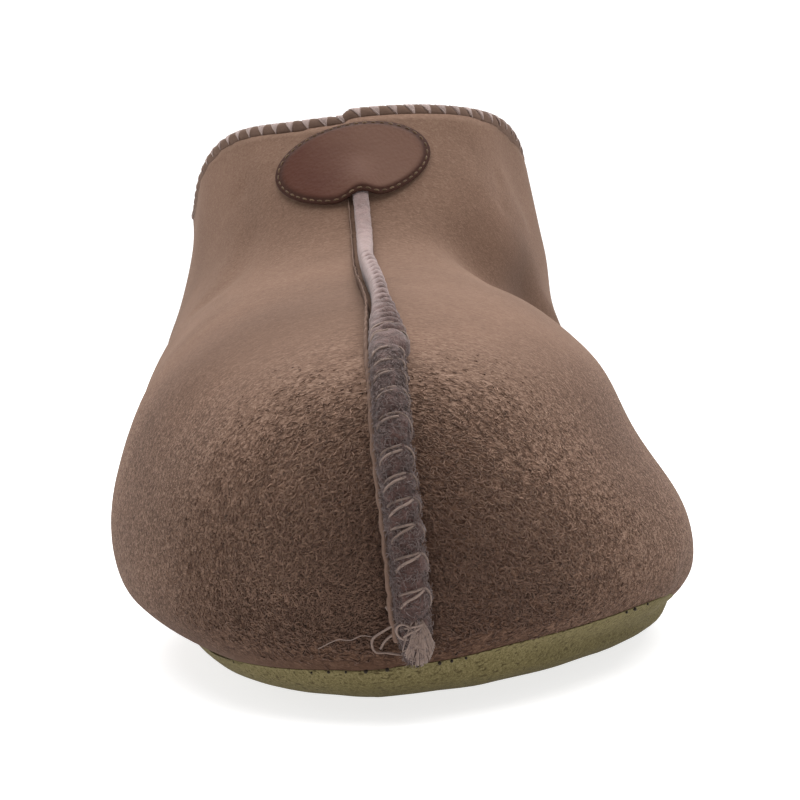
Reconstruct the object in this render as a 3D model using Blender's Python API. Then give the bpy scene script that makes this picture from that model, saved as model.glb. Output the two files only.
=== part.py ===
"""Slipper boot for the right foot: a sheepskin upper on a soft suede sole.

Frame: metres, +Z up, toe towards -Y, the inner side of the foot towards +X.
The origin is on the floor, under the middle of the boot's box.
Sizes in this file are millimetres, and MM turns them into metres.
"""
import math

import bpy
import numpy as np

MM = 0.001

# Driving sizes
WALL = 2.5            # suede skin of the upper
GAP = 0.3             # clearance between pieces that touch
TOE_SPRING = 2.0      # rise of the sole under the toe
SPRING_START = -60.0  # y where the toe spring begins
ARCH_RISE = 1.0       # rise of the sole under the waist
ARCH_SPAN = (-22.0, 62.0)
SOLE_THICK = 4.0      # sole under the foot
RIM_PROUD = 0.6       # sole edge beyond the foot of the upper
RIM_ROUND = 0.5       # rounding of the sole's upper edge
EDGE_CURL = 18.0      # width of the rounded lower edge of the sole
EDGE_RISE = 6.2       # height of the rounded lower edge
BED_LIP = 5.5         # sole edge to the lip of the bed that holds the insole
BED_WALL = 2.5        # width of the bed's sloping wall
INSOLE_THICK = 3.2
INSOLE_ROUND = 1.2
RIDGE_WIDTH = 6.4     # front seam
RIDGE_HEIGHT = 5.0
RIDGE_LOW = 2.6       # height of the front seam under the badge
RIDGE_SPAN = (1, 26)  # levels of the upper that the front seam runs over
RIDGE_FOOT = 0.45     # share of its height at the toe end
RIDGE_GROWS = (0.03, 0.14)   # shares of the way up where it gains its full height
RIDGE_LOWERS = (0.66, 0.82)  # and where it lowers to pass under the badge
RIDGE_ARC = (0.0, 25.0, 55.0, 90.0, 125.0, 155.0, 180.0)  # its rounded section, in degrees
BADGE_WIDTH = 33.0    # across the shaft
BADGE_HEIGHT = 22.0   # up the shaft
BADGE_THICK = 1.5
BADGE_TILT = 7.0      # turn of the badge on the shaft, in degrees
BADGE_LEVEL = 0.918   # middle of the badge, as a share of the way up the upper
BADGE_GAP = 0.45      # badge to shaft, clear of the shaft's facets
BADGE_BEND = 6.5      # half-width of the fold of the badge over the front seam
BADGE_SPOKES = 36     # facets round the badge
BADGE_RINGS = (0.08, 0.32, 0.62, 1.0)  # shares of its radius
EDGE_BEAD_WIDTH = 5.0   # bound edge of the collar
EDGE_BEAD_HEIGHT = 4.4
EDGE_BEAD_SIDES = 8
EDGE_ARC = (0.0, 20.0, 40.0, 60.0, 90.0)  # rounded lower edge of the sole, in degrees

AROUND = 52           # facets round the boot
STEPS = 3             # facets between two rows of the table of rings
DASH = 0.001          # step for slopes on the upper's surface
TABLE_STEPS = 400     # steps for reading lengths off the upper's surface
BADGE_TURN = 1.2      # turn to each side that the badge stays within

# Rings of the upper, from the sole to the collar.  Front, side and back are places on the ring, and lean is
# how much higher its inner side is than its outer side.  Ball, waist and heel are half-widths, on the outer
# (lat) and inner (med) side of the foot.  Toe and heel_round are the lengths over which the ring rounds off.
# The front seam meets the ring at seam_turn.
RING_COLUMNS = ("front_x", "front_y", "front_z", "side_z", "lean", "back_y", "back_z", "ball_lat", "ball_med",
                "waist_lat", "waist_med", "heel", "toe_lat", "toe_med", "heel_round", "seam_turn")
RINGS = {
    "feather": (-1.5, -127, 7.2, 7.8, 0.8, 121, 8.0, 41, 66, 36, 42, 32, 122, 144, 40, 0.085),
    "rand": (1.2, -131, 12.6, 13.2, 0, 127, 14.0, 52.5, 64, 43, 46, 36, 110, 112, 42, 0.035),
    "bulge": (2.0, -132, 25.0, 23.5, 0, 130, 25.0, 56, 60.5, 47, 49, 38, 112, 100, 44, 0),
    "toe_top": (1.2, -128, 40.0, 37.0, 0, 131, 36.0, 53, 53, 48, 49, 39, 114, 104, 44, 0),
    "vamp_low": (1.6, -115, 53.0, 49.0, 0, 131, 47.0, 49, 49, 48, 49, 39, 114, 106, 45, 0),
    "vamp": (2.2, -84, 64.0, 58.0, 0, 129, 58.0, 46, 44, 46, 48, 39, 112, 106, 46, 0),
    "vamp_high": (1.5, -50, 71.0, 66.0, 0, 127, 68.0, 44, 43, 45, 49, 39, 100, 96, 48, 0),
    "instep": (1.0, -24, 79.0, 75.0, 1, 125, 78.0, 42, 46, 43, 49, 39, 84, 74, 52, 0),
    "ankle": (0.5, -11, 92.0, 84.0, 2, 124, 88.0, 41, 46, 41, 46, 40, 76, 58, 56, 0),
    "collar": (0.0, 0, 106.7, 93.5, 5.9, 124, 96.0, 40, 44, 41, 44, 41, 70, 48, 56, 0),
}
BALL_TO_WAIST = (0.25, 0.60)   # shares of a ring's length over which its width changes
WAIST_TO_HEEL = (0.62, 0.92)
FRONT_TO_SIDE = (0.06, 0.46)   # shares over which its height changes
SIDE_TO_BACK = (0.50, 1.00)
FRONT_FADE = 0.5               # share over which the sideways place of the ring's front fades

LEVELS = STEPS * (len(RINGS) - 1) + 1


def ease(value, start, end):
    """Go from 0 at start to 1 at end with level ends."""
    share = np.clip((value - start) / (end - start), 0.0, 1.0)
    return share * share * (3.0 - 2.0 * share)


def round_off(distance, length):
    """Go from 0 to 1 over the length along a quarter ellipse."""
    left = np.clip(1.0 - distance / length, 0.0, 1.0)
    return np.sqrt(1.0 - left * left)


def toe_lift(y):
    """Rise of the sole's underside at y."""
    reach = SPRING_START - RINGS["feather"][RING_COLUMNS.index("front_y")]
    return TOE_SPRING * np.clip((SPRING_START - y) / reach, 0.0, None) ** 2


def arch_lift(y):
    """Rise of the waist of the sole at y."""
    start, end = ARCH_SPAN
    share = np.clip((y - start) / (end - start), 0.0, 1.0)
    return ARCH_RISE * np.sin(math.pi * share) ** 2


def ring_sizes(level):
    """Sizes of the rings at levels from 0, the sole, to 1, the collar, on a smooth curve through the rows."""
    rows = np.array(list(RINGS.values()), dtype=float)
    rows = np.vstack([2.0 * rows[0] - rows[1], rows, 2.0 * rows[-1] - rows[-2]])
    last = len(RINGS) - 1
    place = np.asarray(level, dtype=float) * last
    row = np.clip(place.astype(int), 0, last - 1)
    f = (place - row)[..., None]
    a, b, c, d = (rows[row + k] for k in range(4))
    sizes = b + 0.5 * f * (c - a + f * (2.0 * a - 5.0 * b + 4.0 * c - d + f * (3.0 * (b - c) + d - a)))
    return {name: sizes[..., k] for k, name in enumerate(RING_COLUMNS)}


def upper_point(turn, level):
    """Point on the outside of the upper.

    turn is 0 at the toe, positive along the inner side and pi at the heel.
    """
    turn, level = np.broadcast_arrays(np.asarray(turn, dtype=float), np.asarray(level, dtype=float))
    ring = ring_sizes(level)
    share = (1.0 - np.cos(turn)) / 2.0
    inner = np.sin(turn) > 0.0
    length = ring["back_y"] - ring["front_y"]
    ball = np.where(inner, ring["ball_med"], ring["ball_lat"])
    waist = np.where(inner, ring["waist_med"], ring["waist_lat"])
    toe = np.minimum(np.where(inner, ring["toe_med"], ring["toe_lat"]), length - ring["heel_round"])
    width = ball + (waist - ball) * ease(share, *BALL_TO_WAIST)
    width = width + (ring["heel"] - waist) * ease(share, *WAIST_TO_HEEL)
    width = width * round_off(share * length, toe) * round_off((1.0 - share) * length, ring["heel_round"])
    y = ring["front_y"] + length * share
    x = np.where(inner, width, -width) + ring["front_x"] * np.clip(1.0 - share / FRONT_FADE, 0.0, 1.0)
    z = ring["front_z"] + (ring["side_z"] - ring["front_z"]) * ease(share, *FRONT_TO_SIDE)
    z = z + (ring["back_z"] - ring["side_z"]) * ease(share, *SIDE_TO_BACK) + 0.5 * ring["lean"] * np.sin(turn)
    z = z + toe_lift(y) * (1.0 - level)
    return np.stack([x, y, z], axis=-1)


def unit(vectors):
    """Vectors scaled to length 1."""
    return vectors / np.linalg.norm(vectors, axis=-1, keepdims=True)


def upper_rise(turn, level):
    """Direction up the surface of the upper, from the sole to the collar."""
    low = np.clip(np.asarray(level, dtype=float) - DASH, 0.0, 1.0)
    high = np.clip(np.asarray(level, dtype=float) + DASH, 0.0, 1.0)
    return unit(upper_point(turn, high) - upper_point(turn, low))


def upper_normal(turn, level):
    """Outward direction on the surface of the upper."""
    along = upper_point(np.asarray(turn) + DASH, level) - upper_point(np.asarray(turn) - DASH, level)
    return unit(np.cross(along, upper_rise(turn, level)))


def turns():
    """Turns of the facets round the boot, the first one at the toe."""
    return np.arange(AROUND) * 2.0 * math.pi / AROUND


def signed(turn):
    """The same turns between -pi and pi, with the outer side of the foot negative."""
    return np.where(turn > math.pi, turn - 2.0 * math.pi, turn)


def make_object(name, points, faces, colour, roughness, sharp_deg=50.0):
    """Mesh object from points in millimetres, shaded smooth below the sharp angle, with its own material."""
    mesh = bpy.data.meshes.new(name)
    mesh.from_pydata([tuple(p) for p in np.asarray(points) * MM], [], faces)
    mesh.validate()
    mesh.shade_smooth()
    mesh.set_sharp_from_angle(angle=math.radians(sharp_deg))
    material = bpy.data.materials.new(name)
    material.use_nodes = True
    shader = material.node_tree.nodes["Principled BSDF"]
    shader.inputs["Base Color"].default_value = (*colour, 1.0)
    shader.inputs["Roughness"].default_value = roughness
    shader.inputs["Metallic"].default_value = 0.0
    mesh.materials.append(material)
    piece = bpy.data.objects.new(name, mesh)
    bpy.context.scene.collection.objects.link(piece)
    return piece


def band_faces(first, second, count):
    """Quads between two closed loops of count points that start at the given numbers."""
    return [(first + k, first + (k + 1) % count, second + (k + 1) % count, second + k) for k in range(count)]


def loop_faces(loops, count):
    """Quads between each loop and the next one."""
    faces = []
    for k in range(loops - 1):
        faces += band_faces(k * count, (k + 1) * count, count)
    return faces


def cap_faces(start, count):
    """Faces that close a loop by strips across it, from its first point at one end to the other end."""
    half = count // 2
    strips = [(start, start + count - 1, start + 1)]
    for k in range(1, half - 1):
        strips.append((start + k, start + count - k, start + count - k - 1, start + k + 1))
    strips.append((start + half - 1, start + half + 1, start + half))
    return strips


def flipped(faces):
    """The same faces, seen from the other side."""
    return [tuple(reversed(face)) for face in faces]


def build_upper():
    """Hollow skin, open at the collar and underneath."""
    turn = signed(turns())[None, :]
    level = np.linspace(0.0, 1.0, LEVELS)[:, None]
    outside = upper_point(turn, level)
    inside = outside - WALL * upper_normal(turn, level)
    inside[0] = loop_inside(sole_edge(), RIM_PROUD + WALL)
    inside[0, :, 2] = outside[0, :, 2]
    points = np.concatenate([outside, inside[::-1]]).reshape(-1, 3)
    loops = 2 * LEVELS
    faces = loop_faces(loops, AROUND) + band_faces((loops - 1) * AROUND, 0, AROUND)
    return make_object("upper", points, faces, (0.23, 0.155, 0.115), 0.95)


def loop_inside(loop, inset):
    """A closed loop moved inwards, level, by the inset, with its heights kept."""
    ahead = np.roll(loop, -1, axis=0) - np.roll(loop, 1, axis=0)
    inward = unit(np.stack([-ahead[:, 1], ahead[:, 0], np.zeros(len(loop))], axis=-1))
    return loop + inset * inward


def sole_edge():
    """Loop of the sole's outermost edge, at the height of the foot of the upper."""
    return loop_inside(upper_point(signed(turns()), 0.0), -RIM_PROUD)


def build_outsole():
    """Soft sole with a rounded lower edge, a rim that the upper stands on, and a bed for the insole."""
    edge = sole_edge()
    bed = loop_inside(edge, BED_LIP + BED_WALL)
    bed[:, 2] = toe_lift(bed[:, 1]) + SOLE_THICK
    loops = [bed]
    for inset, drop in ((BED_LIP, 0.0), (RIM_ROUND, 0.0), (0.0, RIM_ROUND)):
        loop = loop_inside(edge, inset)
        loop[:, 2] = edge[:, 2] - GAP - drop
        loops.append(loop)
    for angle in np.radians(EDGE_ARC):
        loop = loop_inside(edge, EDGE_CURL * (1.0 - math.cos(angle)))
        curl = EDGE_RISE * (1.0 - math.sin(angle))
        share = math.sin(angle)
        loop[:, 2] = curl + toe_lift(loop[:, 1]) + share * arch_lift(loop[:, 1])
        loops.append(loop)
    points = np.concatenate(loops)
    last = (len(loops) - 1) * AROUND
    faces = flipped(loop_faces(len(loops), AROUND)) + flipped(cap_faces(0, AROUND)) + cap_faces(last, AROUND)
    return make_object("outsole", points, faces, (0.165, 0.150, 0.085), 0.9)


def build_insole():
    """Flat pad in the bed of the sole."""
    edge = sole_edge()
    outline = BED_LIP + BED_WALL + GAP
    loops = []
    for inset, height in ((INSOLE_ROUND, INSOLE_THICK), (0.0, INSOLE_THICK - INSOLE_ROUND), (0.0, 0.0)):
        loop = loop_inside(edge, outline + inset)
        loop[:, 2] = toe_lift(loop[:, 1]) + SOLE_THICK + GAP + height
        loops.append(loop)
    points = np.concatenate(loops)
    last = (len(loops) - 1) * AROUND
    faces = flipped(loop_faces(len(loops), AROUND)) + flipped(cap_faces(0, AROUND)) + cap_faces(last, AROUND)
    return make_object("insole", points, faces, (0.55, 0.46, 0.40), 1.0)


def ridge_height(level):
    """Height of the front seam, low at its foot and under the badge."""
    full = RIDGE_HEIGHT + (RIDGE_LOW - RIDGE_HEIGHT) * ease(level, *RIDGE_LOWERS)
    return full * (RIDGE_FOOT + (1.0 - RIDGE_FOOT) * ease(level, *RIDGE_GROWS))


def build_front_seam():
    """Raised seam up the middle of the toe and vamp, along the upper's own surface."""
    level = np.linspace(0.0, 1.0, LEVELS)[RIDGE_SPAN[0]:RIDGE_SPAN[1]]
    turn = ring_sizes(level)["seam_turn"]
    base = upper_point(turn, level)
    out = upper_normal(turn, level)
    across = np.cross(out, upper_rise(turn, level))
    arc = np.radians(RIDGE_ARC)
    loops = []
    for place, normal, side, height in zip(base, out, across, ridge_height(level)):
        offsets = 0.5 * RIDGE_WIDTH * np.cos(arc)[:, None] * side
        heights = (GAP + height * np.sin(arc))[:, None] * normal
        loops.append(place + offsets + heights)
    count = len(arc)
    points = np.concatenate(loops)
    faces = loop_faces(len(loops), count)
    faces.append(tuple(reversed(range(count))))
    faces.append(tuple(range((len(loops) - 1) * count, len(loops) * count)))
    return make_object("front_seam", points, faces, (0.30, 0.23, 0.21), 1.0)


def badge_rest(across):
    """Height of the badge's underside above the upper, folded over the front seam."""
    return BADGE_GAP + (RIDGE_LOW + GAP) * np.exp(-((across / BADGE_BEND) ** 2))


def build_badge():
    """Oval leather badge laid on the front of the shaft, over the front seam."""
    angle = np.arange(BADGE_SPOKES) * 2.0 * math.pi / BADGE_SPOKES
    level_table = np.linspace(0.0, 1.0, TABLE_STEPS)
    steps = np.linalg.norm(np.diff(upper_point(0.0, level_table), axis=0), axis=1)
    climb = np.concatenate([[0.0], np.cumsum(steps)])
    middle = np.interp(BADGE_LEVEL, level_table, climb)
    turn_table = np.linspace(-BADGE_TURN, BADGE_TURN, TABLE_STEPS)
    tilt = math.radians(BADGE_TILT)

    def sheet(share, height):
        """Loop of points at a share of the badge's radius, at a height over its resting surface."""
        long = 0.5 * BADGE_WIDTH * share * np.sin(angle)
        short = 0.5 * BADGE_HEIGHT * share * np.cos(angle)
        across = long * math.cos(tilt) - short * math.sin(tilt)
        level = np.interp(middle + long * math.sin(tilt) + short * math.cos(tilt), climb, level_table)
        rings = [upper_point(turn_table, v)[:, 0] for v in level]
        turn = np.array([np.interp(a, ring, turn_table) for a, ring in zip(across, rings)])
        rest = (badge_rest(across) + height)[:, None]
        return upper_point(turn, level) + rest * upper_normal(turn, level)

    loops = [sheet(share, BADGE_THICK) for share in BADGE_RINGS]
    loops += [sheet(share, 0.0) for share in reversed(BADGE_RINGS)]
    last = (len(loops) - 1) * BADGE_SPOKES
    faces = loop_faces(len(loops), BADGE_SPOKES)
    faces += cap_faces(0, BADGE_SPOKES) + flipped(cap_faces(last, BADGE_SPOKES))
    points = np.concatenate(loops)
    return make_object("badge", points, faces, (0.14, 0.085, 0.062), 0.6)


def build_collar_edge():
    """Bound edge on the rim of the collar."""
    turn = signed(turns())
    rim = upper_point(turn, 1.0)
    out = upper_normal(turn, 1.0)
    rise = upper_rise(turn, 1.0)
    middle = rim - 0.5 * WALL * out + (GAP + 0.5 * EDGE_BEAD_HEIGHT) * rise
    loops = []
    for angle in np.arange(EDGE_BEAD_SIDES) * 2.0 * math.pi / EDGE_BEAD_SIDES:
        sideways = 0.5 * EDGE_BEAD_WIDTH * math.cos(angle) * out
        loops.append(middle + sideways + 0.5 * EDGE_BEAD_HEIGHT * math.sin(angle) * rise)
    points = np.concatenate(loops)
    faces = loop_faces(len(loops), AROUND) + band_faces((len(loops) - 1) * AROUND, 0, AROUND)
    return make_object("collar_edge", points, faces, (0.40, 0.31, 0.28), 1.0)


def centre_on_origin(pieces):
    """Move every mesh so that the box of the whole boot stands on the origin."""
    corners = np.array([v.co for piece in pieces for v in piece.data.vertices])
    low, high = corners.min(axis=0), corners.max(axis=0)
    shift = (-(low[0] + high[0]) / 2.0, -(low[1] + high[1]) / 2.0, -low[2])
    for piece in pieces:
        for vertex in piece.data.vertices:
            vertex.co.x += shift[0]
            vertex.co.y += shift[1]
            vertex.co.z += shift[2]
        piece.data.update()


def main():
    """Clear the scene and build the boot."""
    for old in list(bpy.data.objects):
        bpy.data.objects.remove(old, do_unlink=True)
    makers = (build_upper, build_outsole, build_insole, build_front_seam, build_badge, build_collar_edge)
    centre_on_origin([make() for make in makers])


if __name__ == "__main__":
    main()
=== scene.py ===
"""Looks of the slipper boot: suede upper, felted front seam, badge, collar edge, sole and the wool inside.

Sizes in the classes are millimetres, and become metres where a mesh is made. The toe points along -Y, the
inner side of the foot is +X, and the floor is at Z = 0.
"""

import logging
import math
from collections.abc import Callable
from dataclasses import dataclass, field
from enum import Enum

import bpy
import numpy as np
from mathutils import Matrix, Vector, noise
from mathutils.bvhtree import BVHTree


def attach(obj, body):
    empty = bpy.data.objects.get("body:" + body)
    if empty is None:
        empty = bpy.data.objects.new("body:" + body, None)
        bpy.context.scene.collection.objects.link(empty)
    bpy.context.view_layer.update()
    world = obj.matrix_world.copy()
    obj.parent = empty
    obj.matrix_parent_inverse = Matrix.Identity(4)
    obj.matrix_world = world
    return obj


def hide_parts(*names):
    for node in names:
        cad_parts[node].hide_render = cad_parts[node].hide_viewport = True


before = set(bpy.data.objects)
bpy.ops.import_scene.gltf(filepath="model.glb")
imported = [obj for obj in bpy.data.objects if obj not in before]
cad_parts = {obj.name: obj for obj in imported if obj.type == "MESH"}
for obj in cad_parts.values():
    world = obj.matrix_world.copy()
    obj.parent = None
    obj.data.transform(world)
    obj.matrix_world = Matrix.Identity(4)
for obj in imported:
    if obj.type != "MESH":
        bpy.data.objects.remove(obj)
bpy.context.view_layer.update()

Array = np.ndarray
Colour = tuple[float, float, float]
Spot = tuple[float, float, float]
Pair = tuple[float, float]
Socket = bpy.types.NodeSocket
Thing = bpy.types.Object

MM = 0.001
BODY = "root"
MERGE_GAP = 0.00001
FLAT_ENOUGH = math.radians(70.0)
SHARP = math.radians(55.0)
TINY = 1e-9
CURVE_STEPS = 24
LUMP_SHIFT = (7.3, 3.1, 5.9)
TUFT_SIZES = (5.0, 2.2)
PALE_SHADES = (0.2, 1.0)
MIX_COLOURS = (6, 7)
MIX_RESULT = 2
FIBRE_FACES = (
    (0, 2, 1), (0, 1, 4), (0, 4, 3), (1, 2, 5), (1, 5, 4),
    (2, 0, 3), (2, 3, 5), (3, 4, 6), (4, 5, 6), (5, 3, 6),
)
LOG = logging.getLogger("slipper_boot")


class Slot(Enum):
    """Material slots of the record."""

    UPPER = "suede_upper"
    SOLE = "suede_sole"
    LINING = "wool_lining"
    SEAM = "seam_wool"
    BADGE = "badge_leather"
    COLLAR = "collar_wool"


class Side(Enum):
    """Side of a seam, as seen from the toe."""

    LEFT = -1.0
    RIGHT = 1.0


def ease(value: Array, start: float, end: float) -> Array:
    """Goes smoothly from 0 at start to 1 at end."""
    share = np.clip((np.asarray(value, float) - start) / (end - start), 0.0, 1.0)
    return share * share * (3.0 - 2.0 * share)


def between(pair: Pair, share: Array | float) -> Array | float:
    """Goes evenly from the first number of a pair at 0 to the second at 1."""
    return pair[0] + (pair[1] - pair[0]) * share


def unit(vectors: Array) -> Array:
    """Scales vectors to length one."""
    return vectors / np.maximum(np.linalg.norm(vectors, axis=-1, keepdims=True), TINY)


def grey(level: float) -> Colour:
    """Grey of one level."""
    return (level, level, level)


def nearness(points: Array, place: Spot, radius: float) -> Array:
    """How near points are to a place: 1 there, and close to 0 past twice the radius."""
    gap = np.linalg.norm(points - np.array(place), axis=1) / radius
    return np.exp(-gap ** 2)


def travelled(path: Array) -> Array:
    """Measures how far each point of a path lies from its start, along the path."""
    return np.concatenate([[0.0], np.cumsum(np.linalg.norm(np.diff(path, axis=0), axis=1))])


def read_between(stops: Array, knots: Array, rows: Array) -> Array:
    """Reads rows at stops, between the rows that stand at knots."""
    return np.stack([np.interp(stops, knots, rows[:, axis]) for axis in range(3)], axis=-1)


def curve_through(points: Array, spacing: float) -> Array:
    """Draws a smooth curve through points.

    Args:
        points: Rows of x, y and z.
        spacing: Distance between the curve's own points.

    Returns:
        Evenly spaced points of the curve.
    """
    rows = np.asarray(points, float)
    padded = np.vstack([2.0 * rows[0] - rows[1], rows, 2.0 * rows[-1] - rows[-2]])
    share = np.linspace(0.0, 1.0, CURVE_STEPS, endpoint=False)[:, None]
    parts = []
    for before, start, end, after in zip(padded, padded[1:], padded[2:], padded[3:]):
        bend = 2.0 * before - 5.0 * start + 4.0 * end - after
        twist = -before + 3.0 * start - 3.0 * end + after
        parts.append(start + 0.5 * share * (end - before + share * (bend + share * twist)))
    dense = np.vstack(parts + [rows[-1:]])
    travel = travelled(dense)
    stops = np.linspace(0.0, travel[-1], max(2, round(travel[-1] / spacing) + 1))
    return read_between(stops, travel, dense)


def lumps(points: Array, size: float, seed: float) -> Array:
    """Reads soft random lumps, from about -1 to 1, at points.

    Args:
        points: Rows of x, y and z in millimetres.
        size: Width of a lump in millimetres.
        seed: Picks one of many sets of lumps.

    Returns:
        One height for each point.
    """
    shift = Vector([seed * part for part in LUMP_SHIFT])
    return np.array([noise.noise(Vector(row) + shift) for row in points / size])


def tufts(points: Array, seed: float) -> Array:
    """Reads the heights of wool tufts at points: large tufts with small ones on them."""
    large, small = TUFT_SIZES
    return lumps(points, large, seed) + 0.5 * lumps(points, small, seed + 1.0)


def select_only(thing: Thing) -> None:
    """Makes thing the one selected and active object.

    Args:
        thing: The object.
    """
    bpy.ops.object.select_all(action="DESELECT")
    thing.select_set(True)
    bpy.context.view_layer.objects.active = thing


def read_rows(items: bpy.types.bpy_prop_collection, name: str) -> Array:
    """Reads one direction or place for each of a mesh's points.

    Args:
        items: The points, or their normals.
        name: What to read of each.

    Returns:
        Rows of three numbers.
    """
    flat = np.empty(len(items) * 3, np.float32)
    items.foreach_get(name, flat)
    return flat.reshape(-1, 3).astype(float)


def read_points(thing: Thing) -> Array:
    """Reads a mesh's points in millimetres."""
    return read_rows(thing.data.vertices, "co") / MM


def write_points(thing: Thing, points: Array) -> None:
    """Writes a mesh's points from millimetres."""
    thing.data.vertices.foreach_set("co", (points * MM).astype(np.float32).ravel())
    thing.data.update()


def read_normals(thing: Thing) -> Array:
    """Reads the outward direction at each point of a mesh."""
    return read_rows(thing.data.vertex_normals, "vector")


def read_triangles(thing: Thing) -> Array:
    """Reads a mesh's faces as triangles of point numbers.

    Args:
        thing: The object.

    Returns:
        Rows of three point numbers.
    """
    thing.data.calc_loop_triangles()
    flat = np.empty(len(thing.data.loop_triangles) * 3, np.int32)
    thing.data.loop_triangles.foreach_get("vertices", flat)
    return flat.reshape(-1, 3)


def mark_points(thing: Thing, name: str, values: Array) -> None:
    """Stores one number for each point, for a material to read."""
    layer = thing.data.attributes.new(name, "FLOAT", "POINT")
    layer.data.foreach_set("value", np.asarray(values, np.float32))


def refine(thing: Thing, levels: int) -> None:
    """Rounds a mesh with a subdivision surface and applies it.

    Args:
        thing: The object.
        levels: Levels of subdivision.
    """
    select_only(thing)
    bpy.ops.object.modifier_add(type="SUBSURF")
    modifier = thing.modifiers[-1]
    modifier.levels = levels
    modifier.render_levels = levels
    bpy.ops.object.modifier_apply(modifier=modifier.name)


def smooth_copy(node: str, name: str, levels: int, crease: float = 0.0) -> Thing:
    """Copies a CAD solid and rounds its facets.

    Args:
        node: Name of the CAD solid.
        name: Name of the new piece.
        levels: Levels of subdivision.
        crease: How much of its sharp edges stays, from 0 to 1.

    Returns:
        The new piece, in the solid's place.
    """
    thing = bpy.data.objects.new(name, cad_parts[node].data.copy())
    bpy.context.scene.collection.objects.link(thing)
    thing.data.materials.clear()
    select_only(thing)
    bpy.ops.mesh.customdata_custom_splitnormals_clear()
    bpy.ops.object.mode_set(mode="EDIT")
    bpy.ops.mesh.select_all(action="SELECT")
    bpy.ops.mesh.remove_doubles(threshold=MERGE_GAP)
    bpy.ops.mesh.tris_convert_to_quads(face_threshold=FLAT_ENOUGH, shape_threshold=FLAT_ENOUGH)
    bpy.ops.mesh.select_all(action="DESELECT")
    bpy.ops.mesh.edges_select_sharp(sharpness=SHARP)
    bpy.ops.transform.edge_crease(value=crease)
    bpy.ops.object.mode_set(mode="OBJECT")
    refine(thing, levels)
    bpy.ops.object.shade_smooth()
    return thing


def hand_in(thing: Thing, material: bpy.types.Material, slot: Slot, *replaced: str) -> Thing:
    """Dresses a finished piece and ties it to the boot.

    Args:
        thing: The piece.
        material: Its finish.
        slot: The record's slot for that finish. Not used.
        replaced: CAD solids that the piece stands for.

    Returns:
        The same piece.
    """
    thing.data.materials.clear()
    thing.data.materials.append(material)
    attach(thing, BODY)
    if replaced:
        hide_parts(*replaced)
    LOG.info("%s: %d faces", thing.name, len(thing.data.polygons))
    return thing


class Surface:
    """A mesh to lay things on."""

    def __init__(self, thing: Thing) -> None:
        """Keeps the mesh's triangles."""
        self.tree = BVHTree.FromPolygons(read_points(thing).tolist(), read_triangles(thing).tolist())

    def nearest(self, points: Array) -> tuple[Array, Array, Array]:
        """Finds the closest places on the surface.

        Args:
            points: Rows of x, y and z in millimetres.

        Returns:
            The places, the outward directions there, and the distances.
        """
        found = [self.tree.find_nearest(Vector(row)) for row in points]
        places = np.array([hit[0] for hit in found])
        outward = np.array([hit[1] for hit in found])
        return places, outward, np.array([hit[3] for hit in found])

    def reach(self, points: Array, directions: Array) -> Array:
        """Measures how far rays go before they meet the surface, infinity where they miss."""
        hits = [self.tree.ray_cast(Vector(a), Vector(b)) for a, b in zip(points, directions)]
        return np.array([math.inf if hit[0] is None else hit[3] for hit in hits])


@dataclass
class Bundle:
    """Many small shapes gathered into one mesh."""

    points: list[Array] = field(default_factory=list)
    faces: list[Array] = field(default_factory=list)
    shades: list[Array] = field(default_factory=list)
    count: int = 0

    def add(self, points: Array, faces: list[Array], shade: Array | float = 0.5) -> None:
        """Adds a shape.

        Args:
            points: Rows of x, y and z in millimetres.
            faces: Arrays of point numbers, one array for each number of corners.
            shade: A number from 0 to 1 for the finish to read, for the shape or for each point.
        """
        self.points.append(points)
        self.faces.extend(group + self.count for group in faces)
        self.shades.append(np.broadcast_to(np.asarray(shade, float), len(points)))
        self.count += len(points)

    def build(self, name: str) -> Thing:
        """Makes one smooth-shaded mesh object of all the shapes, with their shades as an attribute.

        Args:
            name: Name of the new piece.

        Returns:
            The new piece.
        """
        mesh = bpy.data.meshes.new(name)
        corners = np.concatenate([group.ravel() for group in self.faces])
        sizes = np.concatenate([np.full(len(group), group.shape[1]) for group in self.faces])
        starts = np.concatenate([[0], np.cumsum(sizes)[:-1]])
        mesh.vertices.add(self.count)
        mesh.vertices.foreach_set("co", (np.vstack(self.points) * MM).astype(np.float32).ravel())
        mesh.loops.add(len(corners))
        mesh.loops.foreach_set("vertex_index", corners.astype(np.int32))
        mesh.polygons.add(len(sizes))
        mesh.polygons.foreach_set("loop_start", starts.astype(np.int32))
        mesh.update(calc_edges=True)
        mesh.shade_smooth()
        thing = bpy.data.objects.new(name, mesh)
        bpy.context.scene.collection.objects.link(thing)
        mark_points(thing, "shade", np.concatenate(self.shades))
        return thing


def grid_faces(rows: int, columns: int, closed: bool = False) -> Array:
    """Faces between loops of points laid one after another.

    Args:
        rows: Number of loops.
        columns: Points in a loop.
        closed: Whether the last loop joins the first.

    Returns:
        Rows of four point numbers.
    """
    row, column = np.meshgrid(np.arange(rows if closed else rows - 1), np.arange(columns), indexing="ij")
    beside = (column + 1) % columns
    above = (row + 1) % rows
    corners = ((row, column), (row, beside), (above, beside), (above, column))
    return np.stack([loop * columns + place for loop, place in corners], axis=-1).reshape(-1, len(corners))


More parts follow.
